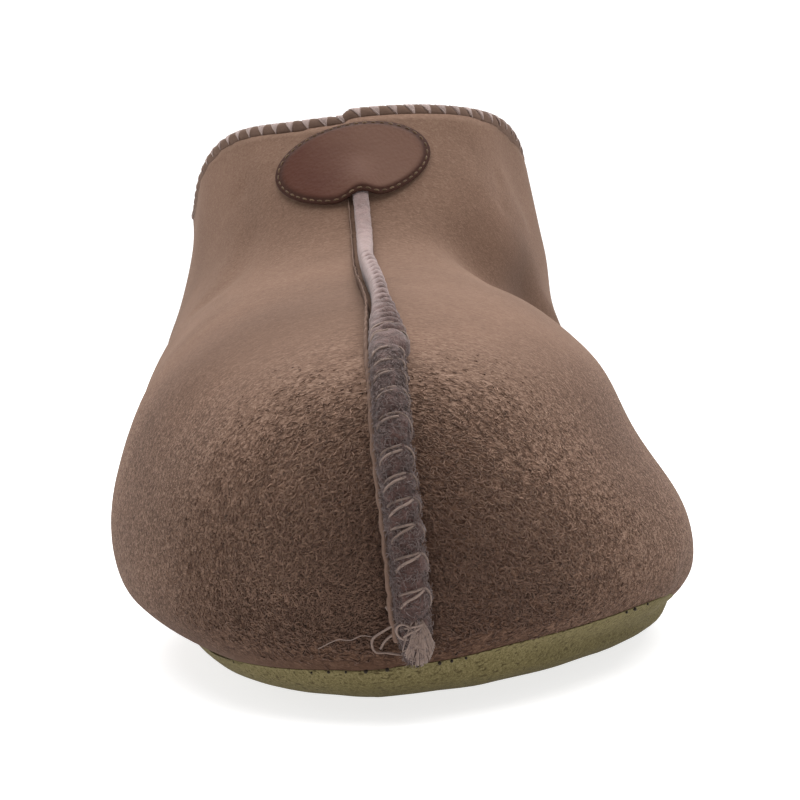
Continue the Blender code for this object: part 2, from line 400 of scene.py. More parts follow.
def loft(loops: Array, closed: bool = False) -> tuple[Array, list[Array]]:
    """Skins loops of points, and closes both ends unless the loops form a ring.

    Args:
        loops: Points by loop and by place in the loop.
        closed: Whether the last loop joins the first.

    Returns:
        Points and faces.
    """
    rows, columns = loops.shape[:2]
    points = loops.reshape(-1, 3)
    faces = [grid_faces(rows, columns, closed)]
    if closed:
        return points, faces
    ends = np.stack([loops[0].mean(axis=0), loops[-1].mean(axis=0)])
    first = np.arange(columns)
    after = (first + 1) % columns
    last = (rows - 1) * columns
    low = np.stack([after, first, np.full(columns, len(points))], axis=-1)
    high = np.stack([first + last, after + last, np.full(columns, len(points) + 1)], axis=-1)
    return np.vstack([points, ends]), faces + [low, high]


def tube(path: Array, radius: Array | float, sides: int = 6) -> tuple[Array, list[Array]]:
    """Lays a closed tube round a path.

    Args:
        path: Points of its middle line.
        radius: Its radius, or one for each point.
        sides: Facets round it.

    Returns:
        Points and faces.
    """
    along = unit(np.gradient(path, axis=0))
    side = np.zeros_like(path)
    start = np.cross(along[0], np.eye(3)[np.argmin(np.abs(along[0]))])
    for row, direction in enumerate(along):
        start = start - direction * np.dot(start, direction)
        start = start / np.linalg.norm(start)
        side[row] = start
    other = np.cross(along, side)
    angle = np.arange(sides) * 2.0 * math.pi / sides
    width = np.broadcast_to(np.asarray(radius, float), len(path))[:, None, None]
    spokes = np.cos(angle)[None, :, None] * side[:, None] + np.sin(angle)[None, :, None] * other[:, None]
    return loft(path[:, None] + width * spokes)


def ball_shape(divisions: int) -> tuple[Array, Array]:
    """Models a ball to copy from.

    Args:
        divisions: How finely it is divided.

    Returns:
        Its points, one millimetre from its middle, and its triangles.
    """
    bpy.ops.object.select_all(action="DESELECT")
    bpy.ops.mesh.primitive_ico_sphere_add(subdivisions=divisions, radius=MM)
    ball = bpy.context.object
    points = read_points(ball)
    triangles = read_triangles(ball)
    mesh = ball.data
    bpy.data.objects.remove(ball)
    bpy.data.meshes.remove(mesh)
    return points, triangles


@dataclass
class Line:
    """A line on the boot, with the directions across it and out of the boot."""

    base: Array
    across: Array
    out: Array
    length: float
    closed: bool = False

    def place(self, distance: Array, sideways: Array, height: Array) -> Array:
        """Finds points beside the line.

        Args:
            distance: How far along the line.
            sideways: How far across it.
            height: How far out of the boot.

        Returns:
            Rows of x, y and z.
        """
        distance, sideways, height = np.broadcast_arrays(distance, sideways, height)
        share = distance / self.length
        share = share % 1.0 if self.closed else np.clip(share, 0.0, 1.0)
        knots = np.linspace(0.0, 1.0, len(self.base))
        lines = (self.base, self.across, self.out)
        base, across, out = (read_between(share, knots, rows) for rows in lines)
        return base + sideways[..., None] * across + height[..., None] * out


@dataclass(frozen=True)
class Curls:
    """Short curled fibres with a root, a bend and a tip."""

    length: float
    width: float
    lift: float
    turn: float
    spread: float = 0.35
    dimmest: float = 0.0
    lifts: Pair = (0.3, 1.0)
    tips: Pair = (-0.7, 0.5)
    widths: Pair = (0.7, 1.3)
    rooted: float = 0.3

    def grow(self, bundle: Bundle, roots: Array, out: Array, comb: Array, rng: np.random.Generator,
             shade: Array | float = 1.0, size: Array | float = 1.0) -> None:
        """Grows a fibre at each root.

        Args:
            bundle: Takes the fibres.
            roots: Places on a surface.
            out: Outward directions there.
            comb: Directions that the fibres lean.
            rng: Source of their variety.
            shade: Palest that each fibre may be, from 0 to 1.
            size: Share of its full size that each fibre has.
        """
        count = len(roots)
        size = np.broadcast_to(np.asarray(size, float), count)[:, None]
        length = size * self.length * (1.0 + self.spread * rng.uniform(-1.0, 1.0, count))[:, None]
        lean = unit(comb - out * np.sum(comb * out, axis=1, keepdims=True))
        side = np.cross(out, lean)
        turn = self.turn * rng.normal(size=count)[:, None]
        lift = size * self.lift * rng.uniform(*self.lifts, count)[:, None]
        onward = lean * np.cos(turn) + side * np.sin(turn)
        bend = roots + 0.5 * length * lean + lift * out
        tip = bend + 0.5 * length * onward + (rng.uniform(*self.tips, count)[:, None] * lift) * out
        half = 0.5 * self.width * (size * rng.uniform(*self.widths, count)[:, None])[:, :, None]
        angle = (np.arange(3) * 2.0 * math.pi / 3.0)[None, :, None]

        def ring(middle: Array, across: Array) -> Array:
            """Three corners of each fibre round its middle."""
            return middle[:, None] + half * (np.cos(angle) * across[:, None] + np.sin(angle) * out[:, None])

        foot = ring(roots - self.rooted * self.width * out, side)
        knee = ring(bend, np.cross(out, onward))
        points = np.concatenate([foot, knee, tip[:, None]], axis=1)
        corners = points.shape[1]
        faces = (np.arange(count) * corners)[:, None, None] + np.array(FIBRE_FACES)[None]
        shades = np.repeat(shade * rng.uniform(self.dimmest, 1.0, count), corners)
        bundle.add(points.reshape(-1, 3), [faces.reshape(-1, 3)], shades)


class Graph:
    """Node graph of one procedural finish."""

    def __init__(self, name: str) -> None:
        """Starts a material with its shader and the piece's own coordinates.

        Args:
            name: Name of the material.
        """
        self.material = bpy.data.materials.new(name)
        self.material.use_nodes = True
        self.nodes = self.material.node_tree.nodes
        self.links = self.material.node_tree.links
        self.shader = self.nodes["Principled BSDF"]
        self.place = self.nodes.new("ShaderNodeTexCoord").outputs["Object"]

    def feed(self, target: Socket, value: Socket | float | tuple) -> None:
        """Links a socket to another, or sets its value.

        Args:
            target: The socket.
            value: Another socket, or the value.
        """
        if isinstance(value, Socket):
            self.links.new(value, target)
        else:
            target.default_value = value

    def shade(self, **values: Socket | float | tuple) -> None:
        """Feeds the shader's sockets, named with underscores for spaces."""
        for name, value in values.items():
            self.feed(self.shader.inputs[name.replace("_", " ")], value)

    def noise(self, size: float, detail: float = 2.0, roughness: float = 0.5, curl: float = 0.0,
              stretch: float = 1.0) -> Socket:
        """Random cloud of lumps.

        Args:
            size: Width of a lump in millimetres.
            detail: Layers of smaller lumps.
            roughness: Strength of those layers.
            curl: How much the lumps are swirled.
            stretch: How much they are drawn out sideways.

        Returns:
            The cloud, from 0 to 1.
        """
        squeeze = self.nodes.new("ShaderNodeVectorMath")
        squeeze.operation = "MULTIPLY"
        self.links.new(self.place, squeeze.inputs[0])
        squeeze.inputs[1].default_value = (1.0 / stretch, 1.0, 1.0)
        node = self.nodes.new("ShaderNodeTexNoise")
        self.links.new(squeeze.outputs[0], node.inputs["Vector"])
        node.inputs["Scale"].default_value = 1.0 / (size * MM)
        node.inputs["Detail"].default_value = detail
        node.inputs["Roughness"].default_value = roughness
        node.inputs["Distortion"].default_value = curl
        return node.outputs["Fac"]

    def cells(self, size: float) -> Socket:
        """Distance to the middles of random cells of a size in millimetres.

        Args:
            size: Width of a cell.

        Returns:
            The distance.
        """
        node = self.nodes.new("ShaderNodeTexVoronoi")
        self.links.new(self.place, node.inputs["Vector"])
        node.inputs["Scale"].default_value = 1.0 / (size * MM)
        return node.outputs["Distance"]

    def attribute(self, name: str) -> Socket:
        """Number stored on the mesh.

        Args:
            name: Name that it is stored under.

        Returns:
            The number.
        """
        node = self.nodes.new("ShaderNodeAttribute")
        node.attribute_name = name
        return node.outputs["Fac"]

    def ramp(self, factor: Socket, stops: list[tuple[float, Colour]]) -> Socket:
        """Colour that goes through stops as factor goes from 0 to 1.

        Args:
            factor: Where on the ramp.
            stops: Places on the ramp, with their colours.

        Returns:
            The colour.
        """
        node = self.nodes.new("ShaderNodeValToRGB")
        self.links.new(factor, node.inputs["Fac"])
        elements = node.color_ramp.elements
        while len(elements) < len(stops):
            elements.new(0.5)
        for element, (place, colour) in zip(elements, stops):
            element.position = place
            element.color = (*colour, 1.0)
        return node.outputs["Color"]

    def mix(self, factor: Socket | float, first: Socket | Colour, second: Socket | Colour,
            blend: str = "MIX") -> Socket:
        """Blends two colours.

        Args:
            factor: Share of the second colour.
            first: One colour.
            second: The other.
            blend: How they are put together.

        Returns:
            The colour.
        """
        node = self.nodes.new("ShaderNodeMix")
        node.data_type = "RGBA"
        node.blend_type = blend
        self.feed(node.inputs[0], factor)
        for number, colour in zip(MIX_COLOURS, (first, second)):
            self.feed(node.inputs[number], colour if isinstance(colour, Socket) else (*colour, 1.0))
        return node.outputs[MIX_RESULT]

    def sums(self, operation: str, first: Socket | float, second: Socket | float) -> Socket:
        """Arithmetic on two numbers.

        Args:
            operation: What to do with them.
            first: One number.
            second: The other.

        Returns:
            The result.
        """
        node = self.nodes.new("ShaderNodeMath")
        node.operation = operation
        self.feed(node.inputs[0], first)
        self.feed(node.inputs[1], second)
        return node.outputs[0]

    def blend(self, first: Socket, second: Socket, share: float) -> Socket:
        """Weighted sum of two numbers, with share of the second."""
        rest = self.sums("MULTIPLY", first, 1.0 - share)
        return self.sums("ADD", rest, self.sums("MULTIPLY", second, share))

    def settle(self, value: Socket, where: Socket, strength: float) -> Socket:
        """Brings a number towards one half where another is 1.

        Args:
            value: The number.
            where: The other number.
            strength: How far it is brought there.

        Returns:
            The settled number.
        """
        share = self.sums("MULTIPLY", where, strength)
        off = self.sums("SUBTRACT", value, 0.5)
        return self.sums("SUBTRACT", value, self.sums("MULTIPLY", off, share))

    def bump(self, height: Socket, depth: float) -> None:
        """Raises the surface by a height from 0 to 1.

        Args:
            height: The height.
            depth: How high 1 is, in millimetres.
        """
        node = self.nodes.new("ShaderNodeBump")
        node.inputs["Strength"].default_value = 1.0
        node.inputs["Distance"].default_value = depth * MM
        self.links.new(height, node.inputs["Height"])
        self.links.new(node.outputs["Normal"], self.shader.inputs["Normal"])


@dataclass(frozen=True)
class Suede:
    """Brushed hide: dark between the fibres, pale on their tips, in soft patches.

    The mesh says where it is darkened, mostly by painted shade, and where the nap lies calm.
    """

    name: str
    pit: Colour
    mid: Colour
    tip: Colour
    nap: float = 0.55
    strands: float = 1.0
    spread: float = 0.15
    clumped: float = 0.12
    clump: float = 3.2
    patch: float = 30.0
    patch_dark: float = 0.9
    patch_span: Pair = (0.3, 0.7)
    depth: float = 0.3
    calm: float = 0.85
    sheen: float = 0.1
    # Tint of the darkening by the mesh's mark: painted shade on the upper and at the sole's foot.
    shade_and_soil: Colour = (0.5, 0.46, 0.44)
    fleck: Colour | None = None
    fleck_size: float = 0.55
    fleck_span: Pair = (0.58, 0.68)
    fleck_most: float = 0.85

    def material(self) -> bpy.types.Material:
        """Makes the finish.

        Returns:
            The material.
        """
        graph = Graph(self.name)
        fine = graph.noise(self.nap, detail=2.0, roughness=0.55, curl=1.2, stretch=self.strands)
        clump = graph.noise(self.clump, detail=3.0, roughness=0.6, curl=0.8)
        nap = graph.settle(graph.blend(fine, clump, self.clumped), graph.attribute("calm"), self.calm)
        places = (0.5 - self.spread, 0.5, 0.5 + self.spread)
        colour = graph.ramp(nap, list(zip(places, (self.pit, self.mid, self.tip))))
        tones = (grey(self.patch_dark), grey(2.0 - self.patch_dark))
        patches = graph.noise(self.patch, detail=3.0, curl=0.5)
        patches = graph.ramp(patches, list(zip(self.patch_span, tones)))
        colour = graph.mix(1.0, colour, patches, "MULTIPLY")
        # Darkens by the mesh's mark, which is mostly painted shade.
        shade_and_soil = graph.mix(graph.attribute("shade_and_soil"), grey(1.0), self.shade_and_soil)
        colour = graph.mix(1.0, colour, shade_and_soil, "MULTIPLY")
        if self.fleck:
            dots = graph.noise(self.fleck_size, detail=1.0, stretch=2.0)
            spots = graph.ramp(dots, list(zip(self.fleck_span, (grey(0.0), grey(self.fleck_most)))))
            colour = graph.mix(spots, colour, self.fleck)
        graph.shade(Base_Color=colour, Roughness=0.92, Specular_IOR_Level=0.15, Sheen_Weight=self.sheen,
                    Sheen_Roughness=0.5, Sheen_Tint=(*self.tip, 1.0))
        graph.bump(nap, self.depth)
        return graph.material


@dataclass(frozen=True)
class Fibre:
    """Loose fibres or thread, each one a little darker or paler than the next."""

    name: str
    dark: Colour
    pale: Colour
    grain: float = 0.5
    mottled: float = 0.35
    tone_span: Pair = (0.1, 0.9)
    depth: float = 0.08
    sheen: float = 0.1

    def material(self) -> bpy.types.Material:
        """Makes the finish.

        Returns:
            The material.
        """
        graph = Graph(self.name)
        mottle = graph.noise(self.grain, detail=3.0, roughness=0.6)
        tone = graph.blend(graph.attribute("shade"), mottle, self.mottled)
        colour = graph.ramp(tone, list(zip(self.tone_span, (self.dark, self.pale))))
        graph.shade(Base_Color=colour, Roughness=0.85, Specular_IOR_Level=0.2, Sheen_Weight=self.sheen,
                    Sheen_Roughness=0.4)
        graph.bump(mottle, self.depth)
        return graph.material


@dataclass(frozen=True)
class Wool:
    """Felted or curly wool, from a worn tone to a clean one where the mesh says so."""

    name: str
    worn: Colour
    clean: Colour
    hollow: float = 0.4
    crest: float = 1.15
    hollow_span: Pair = (0.36, 0.58)
    tufted: float = 0.4
    calm: float = 0.7
    curl_size: float = 1.0
    depth: float = 0.5

    def material(self) -> bpy.types.Material:
        """Makes the finish.

        Returns:
            The material.
        """
        graph = Graph(self.name)
        fine = graph.noise(self.curl_size, detail=4.0, roughness=0.65, curl=2.2)
        tuft = graph.noise(3.0 * self.curl_size, detail=2.0, curl=1.0)
        height = graph.blend(fine, tuft, self.tufted)
        tone = graph.mix(graph.attribute("shade"), self.worn, self.clean)
        height = graph.settle(height, graph.attribute("shade"), self.calm)
        light = graph.ramp(height, list(zip(self.hollow_span, (grey(self.hollow), grey(self.crest)))))
        colour = graph.mix(1.0, tone, light, "MULTIPLY")
        graph.shade(Base_Color=colour, Roughness=0.95, Specular_IOR_Level=0.1, Sheen_Weight=0.2,
                    Sheen_Roughness=0.6)
        graph.bump(height, self.depth)
        return graph.material


@dataclass(frozen=True)
class Leather:
    """Smooth leather with fine grain, which the mesh marks as rubbed pale or burnished dark."""

    name: str
    face: Colour
    worn: Colour
    edge: Colour
    rubbed: float = 0.6
    face_span: Pair = (0.25, 0.7)
    cloud: float = 9.0
    fine: float = 0.6
    fine_tone: float = 0.3
    fine_grain: float = 0.4
    roughs: Pair = (0.55, 0.75)
    grain: float = 0.9
    depth: float = 0.1

    def material(self) -> bpy.types.Material:
        """Makes the finish.

        Returns:
            The material.
        """
        graph = Graph(self.name)
        cloud = graph.noise(self.cloud, detail=4.0, roughness=0.6)
        fine = graph.noise(self.fine, detail=3.0)
        tone = graph.blend(graph.blend(cloud, fine, self.fine_tone), graph.attribute("rubbed"), self.rubbed)
        face = graph.ramp(tone, list(zip(self.face_span, (self.face, self.worn))))
        colour = graph.mix(graph.attribute("shade"), face, self.edge)
        grain = graph.blend(graph.cells(self.grain), fine, self.fine_grain)
        rough = graph.nodes.new("ShaderNodeMapRange")
        graph.links.new(cloud, rough.inputs["Value"])
        rough.inputs["To Min"].default_value, rough.inputs["To Max"].default_value = self.roughs
        graph.shade(Base_Color=colour, Roughness=rough.outputs["Result"], Specular_IOR_Level=0.08)
        graph.bump(grain, self.depth)
        return graph.material


@dataclass(frozen=True)
class Fold:
    """A crease set on the upper: a soft trough with a soft ridge beside it."""

    route: tuple[Spot, ...]
    width: float
    trough: float
    ridge: float = 0.0
    ridge_side: Spot = (0.0, 0.0, 1.0)
    ridge_at: float = 1.5
    ridge_reach: float = 2.6
    fades: Pair = (0.25, 0.3)
    steps: Pair = (4.0, 1.0)

    def push(self, points: Array, skin: Surface) -> Array:
        """Works out how far the fold moves points of the upper outwards.

        Args:
            points: Points of the upper.
            skin: The upper's surface, which the route is laid on.

        Returns:
            One distance for each point.
        """
        coarse, fine = self.steps
        path = curve_through(skin.nearest(curve_through(np.array(self.route), coarse))[0], fine)
        share = np.linspace(0.0, 1.0, len(path))
        fade = ease(share, 0.0, self.fades[0]) * ease(1.0 - share, 0.0, self.fades[1])
        side = unit(np.array(self.ridge_side, float))
        gap = np.full(len(points), np.inf)
        move = np.zeros(len(points))
        for spot, strength in zip(path, fade):
            offset = points - spot
            distance = np.linalg.norm(offset, axis=1)
            closer = distance < gap
            gap[closer] = distance[closer]
            away = distance[closer] / self.width
            beyond = (offset[closer] @ side) / self.width
            hump = np.exp(-((beyond - self.ridge_at) ** 2)) * np.exp(-((away / self.ridge_reach) ** 2))
            move[closer] = strength * (self.ridge * hump - self.trough * np.exp(-(away ** 2)))
        return move


@dataclass(frozen=True)
class Push:
    """A soft push, where wear has moved the skin."""

    place: Spot
    radius: float
    way: Spot

    def move(self, points: Array) -> Array:
        """Moves points near its place."""
        return points + nearness(points, self.place, self.radius)[:, None] * np.array(self.way)


PUSHES = (
    Push((27.0, 10.0, 104.0), 12.0, (0.0, 0.0, -3.2)),
    Push((39.0, 26.0, 94.0), 15.0, (-3.4, 0.0, 0.0)),
    Push((39.0, 20.0, 85.0), 4.0, (1.2, 0.0, 0.0)),
    Push((-3.0, 3.0, 107.0), 8.0, (0.0, 0.0, 0.8)),
    Push((-22.0, 4.0, 102.0), 9.0, (0.0, 0.0, 0.6)),
    Push((30.0, -20.0, 69.0), 15.0, (0.0, 0.5, -4.4)),
    Push((-27.0, 18.0, 105.0), 15.0, (-0.3, 0.0, 1.7)),
    Push((-38.0, 34.0, 98.0), 15.0, (-1.9, 0.0, 1.3)),
    Push((16.0, 9.0, 110.0), 10.0, (0.0, 0.0, 0.9)),
    Push((46.0, -84.0, 10.0), 16.0, (2.3, 0.0, 0.0)),
    Push((47.0, -82.0, 12.0), 6.5, (-2.2, 0.0, 0.0)),
    Push((-36.0, -104.0, 6.0), 17.0, (-1.1, -0.6, 0.0)),
)


def pushed(points: Array) -> Array:
    """Applies all the pushes.

    Args:
        points: Points of the boot.

    Returns:
        The moved points.
    """
    for push in PUSHES:
        points = push.move(points)
    return points


@dataclass(frozen=True)
class ShadePatch:
    """A darker place on the suede, given one by one: painted shade where the light falls off."""

    place: Spot
    radius: float
    strength: float

    def cover(self, points: Array) -> Array:
        """How strongly it shows at points, from 0 to 1."""
        return self.strength * nearness(points, self.place, self.radius)


@dataclass
class Upper:
    """Suede skin of the boot, with the folds of the photo."""

    finish: Suede
    levels: int = 2
    folds: tuple[Fold, ...] = (
        Fold(((43.0, 18.0, 61.0), (37.0, 3.0, 65.5), (29.0, -10.0, 71.5), (20.0, -12.0, 79.0),
              (12.0, -9.0, 86.0)), 9.0, 4.4, 0.4, (0.0, -1.0, -0.2)),
        Fold(((-39.0, -2.0, 66.0), (-35.0, -12.0, 71.0), (-29.0, -3.0, 81.0), (-30.0, 8.0, 88.0)),
             5.0, 0.9, 0.6, (-1.0, 0.0, 0.3)),
        Fold(((-26.0, 4.0, 84.0), (-27.0, 8.0, 90.0), (-31.0, 13.0, 96.0)), 4.0, 0.6, 0.4, (1.0, 0.0, 0.0)),
        Fold(((29.0, 6.0, 84.0), (30.0, 12.0, 91.0), (33.0, 19.0, 96.0)), 5.0, 0.8, 0.5, (-1.0, 0.0, 0.2)),
        Fold(((44.0, 20.0, 50.0), (47.0, 34.0, 40.0), (48.0, 48.0, 34.0)), 7.0, 0.9, 0.6, (0.0, 1.0, 0.3)),
        Fold(((-43.0, 16.0, 52.0), (-45.0, 34.0, 42.0), (-46.0, 50.0, 36.0)),
             7.0, 0.9, 0.6, (0.0, 1.0, 0.3)),
        Fold(((-20.0, 118.0, 60.0), (0.0, 126.0, 56.0), (18.0, 120.0, 60.0)),
             6.0, 0.7, 0.5, (0.0, 0.0, 1.0)),
    )
    wave: float = 0.55
    wave_size: float = 26.0
    # Painted shade: darker places where the light falls off, at the front of the toe, beside the seam, on
    # the toe's sides and in the fold's hollow on the shaft.
    shade_patches: tuple[ShadePatch, ...] = (
        ShadePatch((3.0, -128.0, 8.0), 36.0, 0.9),
        ShadePatch((3.5, -124.0, 41.0), 8.0, 0.4),
        ShadePatch((3.5, -129.0, 28.0), 10.0, 0.5),
        ShadePatch((-7.0, -123.0, 43.0), 8.0, 0.35),
        ShadePatch((-7.5, -128.5, 29.0), 10.0, 0.45),
        ShadePatch((-34.0, -106.0, 20.0), 26.0, 0.3),
        ShadePatch((-42.0, -74.0, 50.0), 22.0, 0.42),
        ShadePatch((46.0, -82.0, 46.0), 22.0, 0.5),
        ShadePatch((-20.0, -70.0, 66.0), 26.0, 0.28),
        ShadePatch((38.0, 4.0, 65.0), 18.0, 0.75),
        ShadePatch((30.0, 4.0, 78.0), 16.0, 0.2),
        ShadePatch((34.0, -93.0, 41.0), 16.0, 0.25),
        ShadePatch((-48.0, -78.0, 33.0), 16.0, 0.2),
        ShadePatch((14.0, -125.0, 12.0), 10.0, 0.4),
    )
    stands: Pair = (84.0, 126.0)
    stands_low: Pair = (-60.0, -40.0)
    stands_beside: Pair = (20.0, 60.0)
    foot_drop: float = 0.9
    foot_span: Pair = (8.5, 12.5)
    foot_calm: Pair = (8.0, 11.5)
    # Painted shade at the foot of the toe, just above the sole.
    foot_shade: float = 0.75
    foot_shade_high: Pair = (9.0, 22.0)
    foot_shade_front: Pair = (50.0, 96.0)
    middle: tuple[Spot, ...] = (
        (0.0, -104.0, 26.0), (0.0, -40.0, 34.0), (0.0, 40.0, 44.0), (0.0, 62.0, 116.0),
    )
    middle_step: float = 2.0
    facing_in: float = 0.15
    rim_every: int = 4
    rim_near: float = 2.0
    rim_reach: float = 12.0
    rim_fade: float = 8.0
    rim_most: float = 4.0
    rim_drop: float = 1.0
    thing: Thing | None = None
    outside: Array | None = None

    def build(self, rim: Line) -> Thing:
        """Makes the skin from its solid and presses the folds in.

        Args:
            rim: Middle line of the collar's edge, which the skin ends in.

        Returns:
            The skin.
        """
        self.thing = smooth_copy("upper", "upper_skin", self.levels, crease=1.0)
        points = read_points(self.thing)
        normals = read_normals(self.thing)
        skin = Surface(self.thing)
        self.outside = self.faces_out(points, normals)
        move = self.wave * lumps(points, self.wave_size, seed=1.0)
        for fold in self.folds:
            move += fold.push(points, skin)
        points = pushed(points + (move * np.where(self.outside, 1.0, -1.0))[:, None] * normals)
        points[:, 2] -= self.foot_drop * self.outside * (1.0 - ease(points[:, 2], *self.foot_span))
        points[:, 2] += self.meet(points, rim)
        write_points(self.thing, points)
        # Painted shade, stored for the finish to darken the suede with.
        mark_points(self.thing, "shade_and_soil", self.shade_and_soil(points))
        beside = ease(-points[:, 2], *self.stands_low) * ease(-points[:, 1], *self.stands_beside)
        stands = np.maximum(ease(-points[:, 1], *self.stands), beside) * ease(points[:, 2], *self.foot_calm)
        mark_points(self.thing, "calm", 1.0 - stands)
        return hand_in(self.thing, self.finish.material(), Slot.UPPER, "upper")

    def faces_out(self, points: Array, normals: Array) -> Array:
        """Tells the outer face of the skin from the inner one, which looks at the boot's middle line.

        Args:
            points: Points of the skin.
            normals: The directions that its faces look there.

        Returns:
            One truth for each point.
        """
        gap = np.full(len(points), np.inf)
        inward = np.zeros_like(points)
        for spot in curve_through(np.array(self.middle), self.middle_step):
            way = spot - points
            distance = np.linalg.norm(way, axis=1)
            closer = distance < gap
            gap[closer] = distance[closer]
            inward[closer] = way[closer]
        return np.sum(normals * unit(inward), axis=1) < self.facing_in

    def meet(self, points: Array, rim: Line) -> Array:
        """Works out how far the top of the skin rises or sinks to end inside the collar's edge.

        Args:
            points: Points of the skin.
            rim: Middle line of the collar's edge.

        Returns:
            One rise for each point.
        """
        gap = np.full(len(points), np.inf)
        rise = np.zeros(len(points))
        for spot in rim.base[::self.rim_every]:
            distance = np.hypot(points[:, 0] - spot[0], points[:, 1] - spot[1])
            below = points[distance < self.rim_near, 2]
            if not len(below):
                continue
            top = below.max()
            closer = (distance < gap) & (distance < self.rim_reach)
            gap[closer] = distance[closer]
            fade = ease(points[closer, 2], top - self.rim_fade, top)
            rise[closer] = np.clip(spot[2] - self.rim_drop - top, -self.rim_most, self.rim_most) * fade
        return rise

    def shade_and_soil(self, points: Array) -> Array:
        """How darkened the suede is, from 0 to 1: painted shade at the foot of the toe and at the listed
        places.

        Args:
            points: Points of the skin.

        Returns:
            One number for each point.
        """
        # Painted shade: darker low at the front, where the toe meets the sole.
        foot = (1.0 - ease(points[:, 2], *self.foot_shade_high)) * ease(-points[:, 1], *self.foot_shade_front)
        clear = 1.0 - self.foot_shade * foot
        for shade_patch in self.shade_patches:
            clear *= 1.0 - shade_patch.cover(points)
        return 1.0 - clear


@dataclass
class Nap:
    """Short curled fibres brushed up on the suede of the toe, and longer ones low on its outer side."""

    finish: Fibre
    short: Curls = Curls(1.25, 0.28, 0.1, 1.0, dimmest=0.1)
    long: Curls = Curls(1.7, 0.32, 0.17, 1.5, dimmest=0.1)
    count: int = 8000
    smallest: float = 0.35
    front_span: Pair = (84.0, 126.0)
    facing_span: Pair = (0.3, 0.9)
    long_high: Pair = (16.0, 44.0)
    long_across: Pair = (-14.0, 16.0)
    foot_span: Pair = (8.8, 20.0)
    seam_gap: float = 3.2
    stray: float = 0.5
    shade_on_fibres: float = 1.0
    inner_less: float = 0.7
    long_least: float = 0.12
    comb_across: float = 0.9
    comb_fall: float = 0.5
    line_every: int = 4

    def build(self, upper: Upper, line: Line) -> None:
        """Grows the fibres.

        Args:
            upper: The finished upper.
            line: The front seam's line, which stays clear of fibres.
        """
        points = read_points(upper.thing)
        normals = read_normals(upper.thing)
        triangles = read_triangles(upper.thing)
        corners = points[triangles]
        edges = corners[:, 1:] - corners[:, :1]
        area = 0.5 * np.linalg.norm(np.cross(edges[:, 0], edges[:, 1]), axis=1)
        middle = corners.mean(axis=1)
        weight = area * upper.outside[triangles].all(axis=1) * ease(middle[:, 2], *self.foot_span)
        weight = weight * ease(-middle[:, 1], *self.front_span)
        weight = weight * ease(-normals[triangles][:, :, 1].mean(axis=1), *self.facing_span)
        low = 1.0 - ease(middle[:, 2], *self.long_high)
        low = low * (1.0 - self.inner_less * ease(middle[:, 0], *self.long_across))
        low = between((self.long_least, 1.0), low)
        rng = np.random.default_rng(seed=23)
        spots = line.base[::self.line_every]
        for name, curls, share in (("nap_short", self.short, 1.0), ("nap_long", self.long, low)):
            chance = weight * share
            chosen = triangles[rng.choice(len(triangles), self.count, p=chance / chance.sum())]
            mix = rng.dirichlet((1.0, 1.0, 1.0), self.count)
            roots = np.einsum("ij,ijk->ik", mix, points[chosen])
            out = unit(np.einsum("ij,ijk->ik", mix, normals[chosen]))
            gap = np.array([np.linalg.norm(spots - root, axis=1).min() for root in roots])
            roots, out = roots[gap > self.seam_gap], out[gap > self.seam_gap]
            slope = np.where(roots[:, 0] < 0.0, self.comb_fall, -self.comb_fall)
            comb = np.stack([np.full(len(roots), self.comb_across), 0.0 * slope, slope], axis=-1)
            comb = comb + self.stray * rng.normal(size=roots.shape)
            bundle = Bundle()
            size = between((self.smallest, 1.0), ease(-roots[:, 1], *self.front_span))
            # Fibres are darkened with the same painted shade as the suede under them.
            curls.grow(bundle, roots, out, comb, rng, 1.0 - self.shade_on_fibres * upper.shade_and_soil(roots), size)
            hand_in(bundle.build(name), self.finish.material(), Slot.UPPER)


@dataclass
class Lining:
    """Curly wool on the inner wall of the upper."""

    finish: Wool
    thick: float = 3.0
    tuft: float = 0.9
    tuft_low: float = 0.4
    clean: float = 0.7
    fill: float = 0.4

    def build(self, upper: Upper) -> None:
        """Makes the wool from the inner faces of the upper.

        Args:
            upper: The finished upper.
        """
        thing = bpy.data.objects.new("lining_wool", upper.thing.data.copy())
        bpy.context.scene.collection.objects.link(thing)
        thing.data.materials.clear()
        # Marked here as well, or marks left on edges and faces would take more points along.
        thing.data.vertices.foreach_set("select", upper.outside)
        select_only(thing)
        bpy.ops.object.mode_set(mode="EDIT")
        bpy.ops.mesh.select_mode(type="VERT")
        bpy.ops.object.mode_set(mode="OBJECT")
        thing.data.vertices.foreach_set("select", upper.outside)
        bpy.ops.object.mode_set(mode="EDIT")
        bpy.ops.mesh.delete(type="VERT")
        bpy.ops.object.mode_set(mode="OBJECT")
        bpy.ops.object.modifier_add(type="SOLIDIFY")
        modifier = thing.modifiers[-1]
        modifier.thickness = self.thick * MM
        modifier.offset = 1.0
        bpy.ops.object.modifier_apply(modifier=modifier.name)
        points = read_points(thing)
        normals = read_normals(thing)
        rise = self.tuft * (tufts(points, seed=31.0) - self.tuft_low)
        inner = Surface(upper.thing).nearest(points)[2] > 0.5 * self.thick
        write_points(thing, points + (rise * inner)[:, None] * normals)
        mark_points(thing, "shade", np.full(len(points), self.clean))
        hand_in(thing, self.finish.material(), Slot.LINING)


